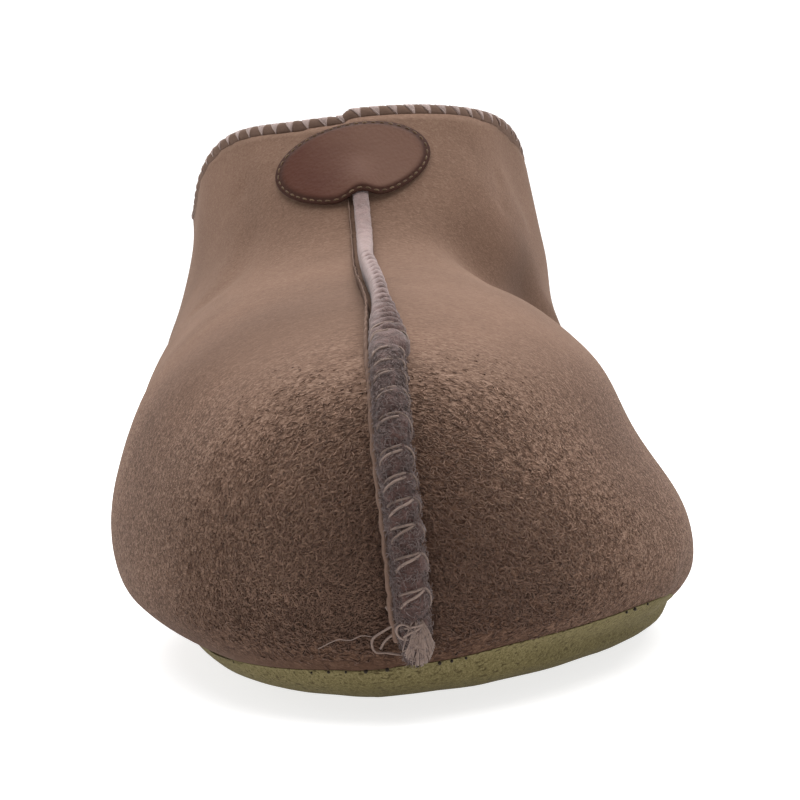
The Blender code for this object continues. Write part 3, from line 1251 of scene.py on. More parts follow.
@dataclass
class Sole:
    """Soft olive suede sole, turned up over the skin at the inner front and sewn on through small holes.

    Holes that the photo shows are listed, each with its place across the toe and its size. On the
    sides and at the back they are evenly spaced.
    """

    finish: Suede
    hole: Fibre
    levels: int = 2
    wave: float = 0.25
    wave_size: float = 9.0
    wave_span: Pair = (0.5, 3.0)
    inner_rise: float = 5.4
    inner_across: Pair = (-8.0, 54.0)
    outer_rise: float = 0.4
    outer_across: Pair = (4.0, 34.0)
    raised_front: Pair = (62.0, 88.0)
    rim_low: Pair = (5.0, 7.6)
    rim_span: Pair = (0.8, 3.0)
    rim_lean: float = 0.3
    over_skin: float = 0.25
    most_out: float = 5.0
    least: float = 0.05
    facing_span: Pair = (0.0, 0.4)
    push_span: Pair = (0.0, 0.25)
    far: float = 60.0
    dark_span: Pair = (2.5, 8.6)
    inner_soil: float = 0.45
    outer_less_shade: float = 0.6
    slots: int = 361
    rim_width: float = 0.9
    toe_holes: tuple[Pair, ...] = (
        (-29.9, 0.22), (-16.8, 0.18), (-14.1, 0.26), (-11.4, 0.2), (-8.3, 0.32), (-5.0, 0.32), (-0.3, 0.26),
        (3.2, 0.3), (5.1, 0.26), (7.4, 0.22), (35.8, 0.24), (37.5, 0.32), (40.3, 0.22),
    )
    hole_pitch: float = 2.9
    hole_size: float = 0.26
    hole_drop: float = 0.35
    toe_end: float = -60.0

    def build(self, skin: Surface) -> None:
        """Makes the sole from its solid, then the stitch holes.

        Args:
            skin: The upper's surface.
        """
        thing = smooth_copy("outsole", "outsole_suede", self.levels, crease=0.5)
        points = read_points(thing)
        lift = self.wave * lumps(points, self.wave_size, seed=2.0) * ease(points[:, 2], *self.wave_span)
        normals = read_normals(thing)
        mark_points(thing, "shade_and_soil", self.shade_and_soil(points))
        points = self.turn_up(pushed(points + lift[:, None] * normals), normals, skin)
        write_points(thing, points)
        hand_in(thing, self.finish.material(), Slot.SOLE, "outsole")
        self.build_holes(points)

    def shade_and_soil(self, points: Array) -> Array:
        """How darkened the sole is, from 0 to 1: painted shade at its foot, and soil at the inner side of
        the toe.

        Args:
            points: The sole's points.

        Returns:
            One number for each point.
        """
        # Painted shade low on the sole, with less of it on the outer side.
        low = 1.0 - ease(points[:, 2], *self.dark_span)
        low = low * (1.0 - self.outer_less_shade * ease(-points[:, 0], *self.outer_across))
        inner = self.inner_soil * ease(points[:, 0], *self.inner_across)
        inner = inner * ease(-points[:, 1], *self.raised_front)
        return 1.0 - (1.0 - low) * (1.0 - inner)

    def outline_gap(self, points: Array) -> Array:
        """How far points lie inside the sole's outline, measured towards its middle.

        Args:
            points: The sole's points.

        Returns:
            One distance for each point.
        """
        angle = np.arctan2(points[:, 1], points[:, 0])
        reach = np.hypot(points[:, 0], points[:, 1])
        stops = np.linspace(-math.pi, math.pi, self.slots)
        slots = np.digitize(angle, stops) - 1
        farthest = np.zeros(self.slots)
        np.maximum.at(farthest, slots, reach)
        return np.interp(angle, stops[:-1] + 0.5 * (stops[1] - stops[0]), farthest[:-1]) - reach

    def turn_up(self, points: Array, normals: Array, skin: Surface) -> Array:
        """Pulls the rim up, and out over the skin.

        Args:
            points: The sole's points.
            normals: The outward directions there.
            skin: The upper's surface.

        Returns:
            The moved points.
        """
        rise = self.inner_rise * ease(points[:, 0], *self.inner_across)
        rise = rise + self.outer_rise * ease(-points[:, 0], *self.outer_across)
        rim = ease(-points[:, 1], *self.raised_front) * ease(points[:, 2], *self.rim_low)
        rim = rim * (1.0 - ease(self.outline_gap(points), *self.rim_span))
        points = points + (rise * rim)[:, None] * (0.0, 0.0, 1.0)
        moved = np.flatnonzero(rise * rim > self.least)
        out = unit(points[moved] * (1.0, 1.0, 0.0))
        points[moved] += self.rim_lean * (rise * rim)[moved, None] * out
        covered = self.far - skin.reach(points[moved] + self.far * out, -out)
        push = np.clip(covered + self.over_skin, 0.0, self.most_out)
        push = push * ease(np.sum(normals[moved] * out, axis=1), *self.facing_span)
        push = push * ease(rim[moved], *self.push_span)
        points[moved] += push[:, None] * out
        return points

    def build_holes(self, points: Array) -> None:
        """Sets small dark balls along the corner of the rim: painted shade that stands for the stitch
        holes.

        Args:
            points: The sole's points.
        """
        angle = np.arctan2(points[:, 1], points[:, 0])
        slots = np.digitize(angle, np.linspace(-math.pi, math.pi, self.slots))
        reach = np.hypot(points[:, 0], points[:, 1])
        rim = []
        for slot in np.unique(slots):
            here = np.flatnonzero(slots == slot)
            outer = here[reach[here] > reach[here].max() - self.rim_width]
            edge = points[outer[np.argmax(reach[outer])]]
            rim.append((edge[0], edge[1], points[outer, 2].max() - self.hole_drop))
        rim = np.array(rim)
        toe = rim[rim[:, 1] < self.toe_end]
        toe = toe[np.argsort(toe[:, 0])]
        across = np.array([place for place, _ in self.toe_holes])
        laid = np.stack([across, *(np.interp(across, toe[:, 0], toe[:, axis]) for axis in (1, 2))], axis=-1)
        travel = travelled(rim)
        even = read_between(np.arange(0.0, travel[-1], self.hole_pitch), travel, rim)
        even = even[even[:, 1] > self.toe_end]
        sizes = [size for _, size in self.toe_holes] + [self.hole_size] * len(even)
        shape, triangles = ball_shape(2)
        bundle = Bundle()
        for spot, size in zip(np.vstack([laid, even]), sizes):
            bundle.add(spot + size * shape, [triangles], 0.0)
        hand_in(bundle.build("sole_stitch_holes"), self.hole.material(), Slot.SOLE)


@dataclass
class Footbed:
    """Wool pad on the sole."""

    finish: Wool
    levels: int = 2
    tuft: float = 0.8
    fringe: float = 6.2
    clean: float = 0.8
    fill: float = 0.4

    def build(self) -> Thing:
        """Makes the pad from its solid, with a tufted top and a fringe that reaches the lining.

        Returns:
            The pad.
        """
        thing = smooth_copy("insole", "insole_wool", self.levels)
        points = read_points(thing)
        normals = read_normals(thing)
        rise = self.tuft * tufts(points, seed=3.0)
        points = points + (rise * (normals[:, 2] > 0.5))[:, None] * normals
        write_points(thing, points + self.fringe * normals * (1.0, 1.0, 0.0))
        mark_points(thing, "shade", np.full(len(points), self.clean))
        return hand_in(thing, self.finish.material(), Slot.LINING, "insole")


@dataclass
class Badge:
    """Oval leather badge over the front seam, sewn round its edge, with a bare face."""

    leather: Leather
    thread: Fibre
    middle: Pair = (-3.7, 96.7)
    half_width: float = 16.9
    half_height: float = 8.9
    tilt: float = 10.0
    fit_top: float = 103.0
    far: float = 300.0
    fit_grid: tuple[int, int] = (23, 13)
    slope_step: float = 0.1
    spokes: int = 96
    rings: int = 26
    first_ring: float = 0.02
    rest: float = 0.5
    seam_place: float = -2.75
    seam_half: float = 3.2
    over_seam: float = 1.5
    seam_span: Pair = (-2.0, 6.5)
    notch: float = 1.3
    thick: float = 1.1
    edge_drop: float = 0.4
    edge_span: Pair = (0.9, 1.0)
    edge_round: float = 0.25
    burn_span: Pair = (0.82, 0.99)
    groove_burn: float = 0.6
    groove_width: float = 0.035
    stitch_ring: float = 0.945
    stitch_pitch: float = 1.9
    stitch_length: float = 1.2
    stitch_radius: float = 0.2
    stitch_steps: int = 9
    stitch_arch: float = 1.6
    groove: float = 0.22
    rubbed: Spot = (0.9, 0.0, 0.4)
    rubbed_span: Pair = (20.0, 48.0)

    def shape_of(self, skin: Surface) -> Callable[[Array, Array], tuple[Array, Array]]:
        """Fits a smooth surface to the front of the shaft.

        Args:
            skin: The upper's surface.

        Returns:
            A function that turns sideways places and heights into points and outward directions.
        """
        columns, rows = self.fit_grid
        top = self.fit_top - self.middle[1]
        sideways, height = np.meshgrid(np.linspace(-self.half_width, self.half_width, columns),
                                       np.linspace(-self.half_height, top, rows))
        sideways, height = sideways.ravel(), height.ravel()
        before = np.full(len(height), -self.far)
        start = np.stack([sideways + self.middle[0], before, height + self.middle[1]], axis=-1)
        depth = skin.reach(start, np.broadcast_to((0.0, 1.0, 0.0), start.shape)) - self.far

        def terms(x: Array, z: Array) -> Array:
            """Powers of the two places that the surface is made of."""
            powers = [np.ones_like(x), x, z, x * x, x * z, z * z, x ** 3, x * x * z, x * z * z, x ** 4]
            return np.stack(powers, axis=-1)

        weights = np.linalg.lstsq(terms(sideways, height), depth, rcond=None)[0]

        def lay(x: Array, z: Array) -> tuple[Array, Array]:
            """Points and outward directions on the fitted surface.

            Args:
                x: Sideways places.
                z: Heights.

            Returns:
                The points, and the directions there.
            """
            step = self.slope_step
            y = terms(x, z) @ weights
            slope_x = (terms(x + step, z) @ weights - y) / step
            slope_z = (terms(x, z + step) @ weights - y) / step
            points = np.stack([x + self.middle[0], y, z + self.middle[1]], axis=-1)
            return points, unit(np.stack([slope_x, -np.ones_like(y), slope_z], axis=-1))

        return lay

    def build(self, skin: Surface) -> None:
        """Makes the badge and its stitches.

        Args:
            skin: The upper's surface.
        """
        shares = np.linspace(self.first_ring, 1.0, self.rings)
        angle = np.arange(self.spokes) * 2.0 * math.pi / self.spokes
        wide = self.half_width * shares[:, None] * np.cos(angle)
        tall = self.half_height * shares[:, None] * np.sin(angle)
        tilt = math.radians(self.tilt)
        sideways = wide * math.cos(tilt) - tall * math.sin(tilt)
        height = wide * math.sin(tilt) + tall * math.cos(tilt)
        beside = (sideways + self.middle[0] - self.seam_place) / self.seam_half
        height = height + self.notch * np.exp(-beside ** 2) * ease(-height, *self.seam_span)
        laid, out = self.shape_of(skin)(sideways, height)
        rest = self.rest + self.over_seam * ease(-height, *self.seam_span) * np.exp(-beside ** 2)
        groove = self.groove * np.exp(-(((shares - self.stitch_ring) / self.groove_width) ** 2))
        dome = self.thick - self.edge_drop * ease(shares, *self.edge_span) - groove
        face = laid + (rest + dome[:, None])[..., None] * out
        back = laid + rest[..., None] * out
        edge = 0.5 * (face[-1:] + back[-1:])
        edge = edge + self.edge_round * unit(edge - face[:1].mean(axis=1, keepdims=True))
        loops = np.concatenate([face, edge, back[::-1]])
        burn = ease(shares, *self.burn_span) + self.groove_burn * groove / self.groove
        burn = np.concatenate([np.clip(burn, 0.0, 1.0), np.ones(len(back) + 1)])
        bundle = Bundle()
        bundle.add(*loft(loops), np.append(np.repeat(burn, self.spokes), [0.0, 1.0]))
        thing = bundle.build("badge_leather")
        mark_points(thing, "rubbed", ease(read_points(thing) @ self.rubbed, *self.rubbed_span))
        hand_in(thing, self.leather.material(), Slot.BADGE, "badge")
        row = int(np.argmin(np.abs(shares - self.stitch_ring)))
        self.sew(np.vstack([face[row], face[row][:1]]), np.vstack([out[row], out[row][:1]]))

    def sew(self, path: Array, outward: Array) -> None:
        """Sews stitches along a closed path on the badge.

        Args:
            path: Points of the path, the last on the first.
            outward: Outward directions there.
        """
        travel = travelled(path)
        count = round(travel[-1] / self.stitch_pitch)
        bundle = Bundle()
        rng = np.random.default_rng(seed=11)
        arch = self.stitch_arch * np.sin(np.linspace(0.0, math.pi, self.stitch_steps))[:, None] - 1.0
        for start in np.arange(count) * travel[-1] / count:
            stops = start + np.linspace(0.0, self.stitch_length, self.stitch_steps)
            spine = read_between(stops, travel, path)
            spine = spine + self.stitch_radius * arch * read_between(stops, travel, outward)
            bundle.add(*tube(spine, self.stitch_radius), rng.uniform(*PALE_SHADES))
        hand_in(bundle.build("badge_stitches"), self.thread.material(), Slot.BADGE)


@dataclass
class FrontSeam:
    """Raised seam up the middle: felted wool beside a cut skin edge, oversewn with pale thread.

    Stitches and ribs are listed, each by its distance along the seam. So are the loose loops of thread at
    the toe, in distances along the seam, across it and out of it. Thread tops, lefts, drops and ends go
    from pairs that spread from one point to pairs that run side by side.
    """

    wool: Wool
    edge: Suede
    thread: Fibre
    fuzz: Fibre
    route: tuple[Spot, ...] = (
        (-0.8, -125.6, 10.2), (-1.1, -127.9, 15.0), (-1.3, -129.0, 27.0), (-2.2, -125.0, 41.5),
        (-2.0, -112.0, 54.0), (-1.9, -81.0, 64.0), (-2.9, -47.0, 71.0), (-2.7, -21.0, 79.0),
        (-2.9, -8.0, 92.0), (-3.4, 2.2, 105.5),
    )
    half_width: float = 2.45
    narrow: float = 0.53
    narrows: Pair = (56.0, 84.0)
    broad: float = 0.3
    broadens: Pair = (112.0, 142.0)
    # Painted shadow of the badge: the wool is darker near its top end.
    dim: float = 0.3
    dims: Pair = (142.0, 158.0)
    height: float = 4.7
    foot_share: float = 0.55
    foot_length: float = 10.0
    low_height: float = 2.0
    lowers: Pair = (120.0, 146.0)
    ends: Pair = (157.0, 166.0)
    end_low: float = 0.9
    soft_half: int = 20
    route_step: float = 0.5
    cleans: Pair = (36.0, 98.0)
    toe_stitches: tuple[float, ...] = (
        7.8, 12.5, 17.2, 21.2, 24.8, 28.2, 32.2, 37.5, 42.2, 46.0, 49.0, 52.5,
    )
    ribs_at: tuple[float, ...] = (
        58.0, 61.0, 63.6, 66.0, 68.6, 71.2, 74.0, 77.0, 80.2, 83.6, 87.2, 91.0, 95.0, 99.4,
        104.0, 109.0, 114.0, 119.0,
    )
    rib_side: Pair = (-0.3, 0.3)
    rib_start: Pair = (50.0, 58.0)
    rib_end: Pair = (112.0, 126.0)
    # Painted shade in the gaps between the ribs.
    rib_dark: float = 1.9
    rib_swell: float = 2.5
    pitch: float = 4.8
    slant: float = 0.45
    swell_right: float = 1.0
    swell_left: float = 0.3
    swell_top: float = 0.6
    swell_mean: float = 0.7
    swell_in: float = 0.3
    square: float = 0.8
    smooth: float = 0.7
    thread_end: float = 63.0
    felt: float = 0.34
    felt_calm: float = 0.7
    fuzz_sizes: Spot = (1.6, 0.8, 1.2)
    fuzz_small: float = 0.7
    pit_depth: float = 1.6
    pit_least: float = 0.25
    edge_start: float = 4.6
    edge_thick: float = 1.2
    edge_thin: float = 0.34
    edge_apart: float = 1.2
    edge_share: float = 0.6
    edge_low: float = 0.55
    edge_sinks: Pair = (96.0, 136.0)
    edge_sunk: float = 0.55
    edge_dips: tuple[float, float, float, float] = (20.0, 34.0, 52.0, 70.0)
    edge_step: float = 0.4
    edge_in: float = 0.5
    edge_corners: tuple[Pair, ...] = (
        (-1.0, 0.0), (-1.0, 0.45), (-0.9, 0.8), (-0.5, 0.97), (0.0, 1.0),
        (0.5, 0.97), (0.9, 0.8), (1.0, 0.45), (1.0, 0.0),
    )
    edge_swell: float = 0.3
    edge_lean: float = 0.12
    edge_root: float = 0.15
    edge_rough: float = 0.16
    edge_rough_size: float = 1.8
    thread_radius: float = 0.23
    pairs_close: Pair = (21.0, 31.0)
    thread_steps: int = 20
    thread_dives: float = 0.35
    thread_thins: float = 0.5
    thread_tops: Pair = (46.0, 68.0)
    thread_lefts: Pair = (138.0, 152.0)
    thread_turns: Pair = (4.0, 6.0)
    thread_drops: tuple[Pair, Pair] = ((0.7, 1.2), (2.5, 2.2))
    thread_ends: tuple[Pair, Pair] = ((0.0, 0.2), (-0.1, -0.6))
    thread_stray: float = 0.25
    thread_bend: float = 0.8
    thread_lift: Pair = (0.55, -1.65)
    thread_shades: Pair = (0.3, 1.0)
    clean_shade: float = 1.5
    loop_foot: float = 0.25
    loop_side: float = 12.0
    loop_bends: Pair = (1.3, 0.6)
    loop_thin: float = 0.85
    loop_lift: Pair = (0.5, -1.7)
    loop_shades: Pair = (0.1, 0.8)
    loose: tuple[tuple[Spot, ...], ...] = (
        ((8.2, -1.2, 3.6), (7.4, -2.6, 2.6), (6.2, -4.2, 1.4), (4.9, -5.9, 0.7), (3.6, -6.2, 0.6),
         (2.5, -5.7, 0.7), (2.3, -4.0, 1.0), (2.2, -2.2, 1.7), (2.8, -0.8, 2.6)),
        ((3.0, -5.0, 0.7), (4.4, -4.2, 1.1), (5.4, -3.2, 1.6), (6.4, -2.0, 2.6)),
        ((9.6, -3.6, 1.0), (8.6, -2.9, 2.0), (7.6, -2.0, 3.0)),
        ((8.0, -1.4, 4.4), (7.6, -2.3, 4.0), (6.6, -2.5, 3.8), (5.8, -1.7, 4.0), (5.9, -0.6, 4.2),
         (6.9, -0.2, 4.4), (7.7, -0.8, 4.5), (8.0, -1.7, 4.3)),
    )
    loose_radius: float = 0.2
    loose_step: float = 0.3
    loose_shades: Pair = (0.3, 0.7)
    stray: tuple[Spot, ...] = (
        (4.9, -5.6, 0.5), (5.4, -7.6, 0.45), (4.9, -9.4, 0.4), (5.2, -11.4, 0.35), (4.2, -14.4, 0.3),
    )
    stray_radius: float = 0.08
    stray_step: float = 0.4
    stray_shade: float = 0.7
    fan_strands: int = 84
    fan_steps: int = 12
    fan_middle: float = 72.0
    fan_roots: float = 14.0
    fan_turn: float = 8.0
    fan_spread: float = 54.0
    fan_starts: Pair = (4.4, 8.4)
    fan_end: float = 0.7
    fan_short: float = 2.6
    fan_curve: float = 1.5
    fan_uneven: float = 0.7
    fan_lift: float = 0.1
    fan_rise: float = 0.25
    fan_left_rise: float = 0.7
    fan_radius: float = 0.1
    fan_shades: Pair = (0.2, 0.9)
    thin_sides: int = 5
    hair: Curls = Curls(1.3, 0.1, 0.35, 1.0)
    hair_turns: Pair = (5.0, 175.0)
    hairs: int = 3000
    hairs_end: float = 52.0
    core_start: float = 1.2
    core_step: float = 0.3
    core_sides: int = 44
    line: Line | None = None
    stitches: Array | None = None

    def build(self, skin: Surface) -> None:
        """Makes the wool, the skin edge, the thread and the loose hairs.

        Args:
            skin: The upper's surface.
        """
        self.lay(skin)
        self.build_wool()
        self.build_edge()
        self.build_thread()
        self.build_hairs()

    def lay(self, skin: Surface) -> None:
        """Lays the route on the upper and lists the stitches.

        Args:
            skin: The upper's surface.
        """
        path, outward, _ = skin.nearest(curve_through(np.array(self.route), self.route_step))
        soft = np.hanning(2 * self.soft_half + 1)
        soft = soft / soft.sum()

        def soften(rows: Array) -> Array:
            """Running mean along the seam."""
            ends = ((self.soft_half, self.soft_half), (0, 0))
            padded = np.pad(rows, ends, mode="reflect", reflect_type="odd")
            return np.stack([np.convolve(padded[:, axis], soft, "valid") for axis in range(3)], axis=-1)

        base = soften(path)
        out = unit(soften(outward))
        along = unit(np.gradient(base, axis=0))
        across = unit(np.cross(along, out))
        length = float(np.linalg.norm(np.diff(base, axis=0), axis=1).sum())
        self.line = Line(base, across, out, length)
        self.stitches = np.array(self.toe_stitches + self.ribs_at)

    def tall(self, distance: Array) -> Array:
        """Height of the seam, low at its foot and ending under the badge."""
        full = between((self.height, self.low_height), ease(distance, *self.lowers))
        return full * (1.0 - self.end_low * ease(distance, *self.ends)) * self.taper(distance)

    def taper(self, distance: Array) -> Array:
        """Share of its size that the seam has near its foot."""
        return between((self.foot_share, 1.0), ease(distance, -1.0, self.foot_length))

    def wide(self, distance: Array) -> Array:
        """Half of the seam's width, narrower at its foot and on the vamp, broader under the badge.

        Args:
            distance: How far along the seam.

        Returns:
            One half width for each distance.
        """
        share = 1.0 - self.narrow * ease(distance, *self.narrows)
        share = share * (1.0 + self.broad * ease(distance, *self.broadens))
        return self.half_width * self.taper(distance) * share

    def swell(self, distance: Array) -> Array:
        """Swell of the wool: 0 at a stitch, and 1 from half a pitch away.

        Args:
            distance: How far along the seam.

        Returns:
            One swell for each distance.
        """
        gap = np.abs(np.asarray(distance)[..., None] - self.stitches).min(axis=-1)
        share = np.clip(gap / (0.5 * self.pitch), 0.0, 1.0)
        return np.sqrt(1.0 - (1.0 - share) ** 2)

    def clean(self, distance: Array) -> Array:
        """How clean the wool is: worn on the toe, pale on the shaft."""
        return ease(distance, *self.cleans)

    def ribs(self, distance: Array, cosine: Array) -> Array:
        """How ribbed the wool is: on its right half, above the toe."""
        above = ease(distance, *self.rib_start) * (1.0 - ease(distance, *self.rib_end))
        return above * ease(cosine, *self.rib_side)

    def over(self, distance: Array, degrees: Array, lift: Array | float) -> Array:
        """Finds places on the wool's surface.

        Args:
            distance: How far along the seam.
            degrees: Turn round the wool: 0 is its right side, 90 its top and 180 its left side.
            lift: How far above the surface.

        Returns:
            Rows of x, y and z.
        """
        distance, turn = np.broadcast_arrays(distance, np.radians(degrees))
        cosine, sine = np.cos(turn), np.sin(turn)
        wide = self.wide(distance)
        rough = np.sign(cosine) * np.abs(cosine) ** self.square * wide
        swell = self.swell(distance - self.slant * rough)
        ribs = self.ribs(distance, cosine)
        swell = swell + (self.swell_mean - swell) * self.smooth * self.clean(distance) * (1.0 - ribs)
        more = 1.0 + (self.rib_swell - 1.0) * ribs
        side = np.where(rough > 0.0, self.swell_right, self.swell_left) * wide / self.half_width
        sideways = rough + cosine * side * more * (swell - self.swell_in)
        tall = self.tall(distance)
        height = 0.5 * tall * (1.0 + np.sign(sine) * np.abs(sine) ** self.square)
        rise = self.swell_top * more * tall / self.height
        height = height + rise * (swell - 0.5) * np.clip(sine, 0.0, 1.0)
        places = self.line.place(distance, sideways, height)
        away = unit(places - self.line.place(distance, 0.0 * sideways, 0.5 * tall))
        return places + np.asarray(lift)[..., None] * away

    def build_wool(self) -> None:
        """Makes the felted core, pinched at each stitch, with painted shade in the rib gaps and painted
        shadow of the badge at its top.
        """
        distance = np.arange(self.core_start, self.ends[1], self.core_step)[:, None]
        degrees = np.linspace(0.0, 360.0, self.core_sides, endpoint=False)[None, :]
        flat = self.over(distance, degrees, 0.0).reshape(-1, 3)
        large, small, pits = self.fuzz_sizes
        fuzz = lumps(flat, large, seed=5.0) + self.fuzz_small * lumps(flat, small, seed=6.0)
        fuzz = fuzz - self.pit_depth * np.clip(lumps(flat, pits, seed=12.0) - self.pit_least, 0.0, 1.0)
        calm = 1.0 - self.felt_calm * self.clean(distance)
        felt = self.felt * calm * fuzz.reshape(len(distance), -1)
        points, faces = loft(self.over(distance, degrees, felt))
        cosine = np.cos(np.radians(degrees))
        pinch = 1.0 - self.swell(distance - self.slant * cosine)
        # Painted shade in the rib gaps on the right, and painted shadow of the badge over the wool's top
        # end.
        bright = np.clip(1.0 - self.rib_dark * self.ribs(distance, cosine) * pinch, 0.0, 1.0)
        shade = (1.0 - self.dim * ease(distance, *self.dims)) * self.clean(distance) * bright
        bundle = Bundle()
        bundle.add(points, faces, np.append(shade.ravel(), [0.0, 1.0]))
        hand_in(bundle.build("seam_wool"), self.wool.material(), Slot.SEAM, "front_seam")

    def build_edge(self) -> None:
        """Makes the cut edge of the skin that shows at the left of the wool."""
        distance = np.arange(self.edge_start, self.ends[1], self.edge_step)[:, None]
        corners = np.array(self.edge_corners)[None]
        clean = self.clean(distance)
        swell = self.swell(distance + self.slant * self.wide(distance))
        thick = 0.5 * between((self.edge_thick, self.edge_thin), clean)
        out = self.wide(distance) + thick + self.edge_apart * clean - self.edge_in
        out = out + self.swell_left * (swell - 0.5)
        dip = ease(distance, *self.edge_dips[:2]) * (1.0 - ease(distance, *self.edge_dips[2:]))
        tall = self.tall(distance) * self.edge_share * (1.0 - self.edge_low * dip)
        tall = tall + self.edge_swell * (swell - 0.5)
        tall = tall * (1.0 - self.edge_sunk * ease(distance, *self.edge_sinks))
        sideways = -(out + thick * corners[..., 0] + self.edge_lean * tall * corners[..., 1])
        height = tall * corners[..., 1] - self.edge_root * (corners[..., 1] == 0.0)
        loops = self.line.place(distance, sideways, height)[:, ::-1]
        rough = self.edge_rough * lumps(loops.reshape(-1, 3), self.edge_rough_size, seed=8.0)
        bundle = Bundle()
        bundle.add(*loft(loops + rough.reshape(loops.shape[:2])[..., None]))
        thing = bundle.build("seam_skin_edge")
        mark_points(thing, "calm", np.ones(len(thing.data.vertices)))
        hand_in(thing, self.edge.material(), Slot.UPPER)

    def build_thread(self) -> None:
        """Sews pairs of thread over the seam, joined by a loop down its right side."""
        bundle = Bundle()
        rng = np.random.default_rng(seed=9)
        share = np.linspace(0.0, 1.0, self.thread_steps)
        sunk = 1.0 - np.sin(math.pi * share) ** self.thread_dives
        for number, apex in enumerate(self.stitches[self.stitches < self.thread_end]):
            close = float(ease(apex, *self.pairs_close))
            clean = float(self.clean(apex))
            radius = self.thread_radius * (1.0 - self.thread_thins * clean)
            turn_top, turn_left = self.thread_turns
            top = between(self.thread_tops, close) + rng.uniform(-turn_top, turn_top)
            left = between(self.thread_lefts, close)
            for drop, end in zip(self.thread_drops, self.thread_ends):
                start = apex - between(drop, close) + rng.uniform(-self.thread_stray, self.thread_stray)
                degrees = left + rng.uniform(-turn_left, turn_left) + (top - left) * share
                distance = between((start, apex + between(end, close)), share ** self.thread_bend)
                path = self.over(distance, degrees, radius * between(self.thread_lift, sunk))
                bundle.add(*tube(path, radius), rng.uniform(*self.thread_shades) + self.clean_shade * clean)
            if number:
                below = between((self.stitches[number - 1], apex), self.loop_foot)
                bend_along, bend_round = self.loop_bends
                degrees = between((top, self.loop_side), share ** bend_round)
                distance = between((apex, below), share ** bend_along)
                path = self.over(distance, degrees, radius * between(self.loop_lift, sunk))
                shade = rng.uniform(*self.loop_shades) + self.clean_shade * clean
                bundle.add(*tube(path, self.loop_thin * radius), shade)
        self.fray(bundle, rng)
        hand_in(bundle.build("seam_thread"), self.thread.material(), Slot.SEAM)

    def fray(self, bundle: Bundle, rng: np.random.Generator) -> None:
        """Adds the loose loops and the frayed ends of thread at the toe.

        Args:
            bundle: Takes the thread.
            rng: Source of its variety.
        """
        for loop in self.loose:
            path = self.line.place(*curve_through(np.array(loop), self.loose_step).T)
            bundle.add(*tube(path, self.loose_radius), rng.uniform(*self.loose_shades))
        path = self.line.place(*curve_through(np.array(self.stray), self.stray_step).T)
        bundle.add(*tube(path, self.stray_radius, self.thin_sides), self.stray_shade)
        share = np.linspace(0.0, 1.0, self.fan_steps)
        for fan in rng.uniform(-1.0, 1.0, self.fan_strands):
            degrees = self.fan_middle + self.fan_roots * fan + rng.uniform(-self.fan_turn, self.fan_turn)
            start = rng.uniform(*self.fan_starts)
            end = self.fan_end + self.fan_short * abs(fan) ** self.fan_curve
            end = end + rng.uniform(0.0, self.fan_uneven)
            lift = self.fan_lift + (self.fan_rise + self.fan_left_rise * max(0.0, -fan)) * share
            path = self.over(between((start, end), share), degrees + self.fan_spread * fan * share, lift)
            bundle.add(*tube(path, self.fan_radius, self.thin_sides), rng.uniform(*self.fan_shades))

    def build_hairs(self) -> None:
        """Grows short curled hairs on the worn part of the wool."""
        rng = np.random.default_rng(seed=13)
        distance = rng.uniform(self.core_start, self.hairs_end, self.hairs)
        degrees = rng.uniform(*self.hair_turns, len(distance))
        roots = self.over(distance, degrees, 0.0)
        out = unit(self.over(distance, degrees, 1.0) - roots)
        bundle = Bundle()
        self.hair.grow(bundle, roots, out, rng.normal(size=roots.shape), rng)
        hand_in(bundle.build("seam_hairs"), self.fuzz.material(), Slot.SEAM)


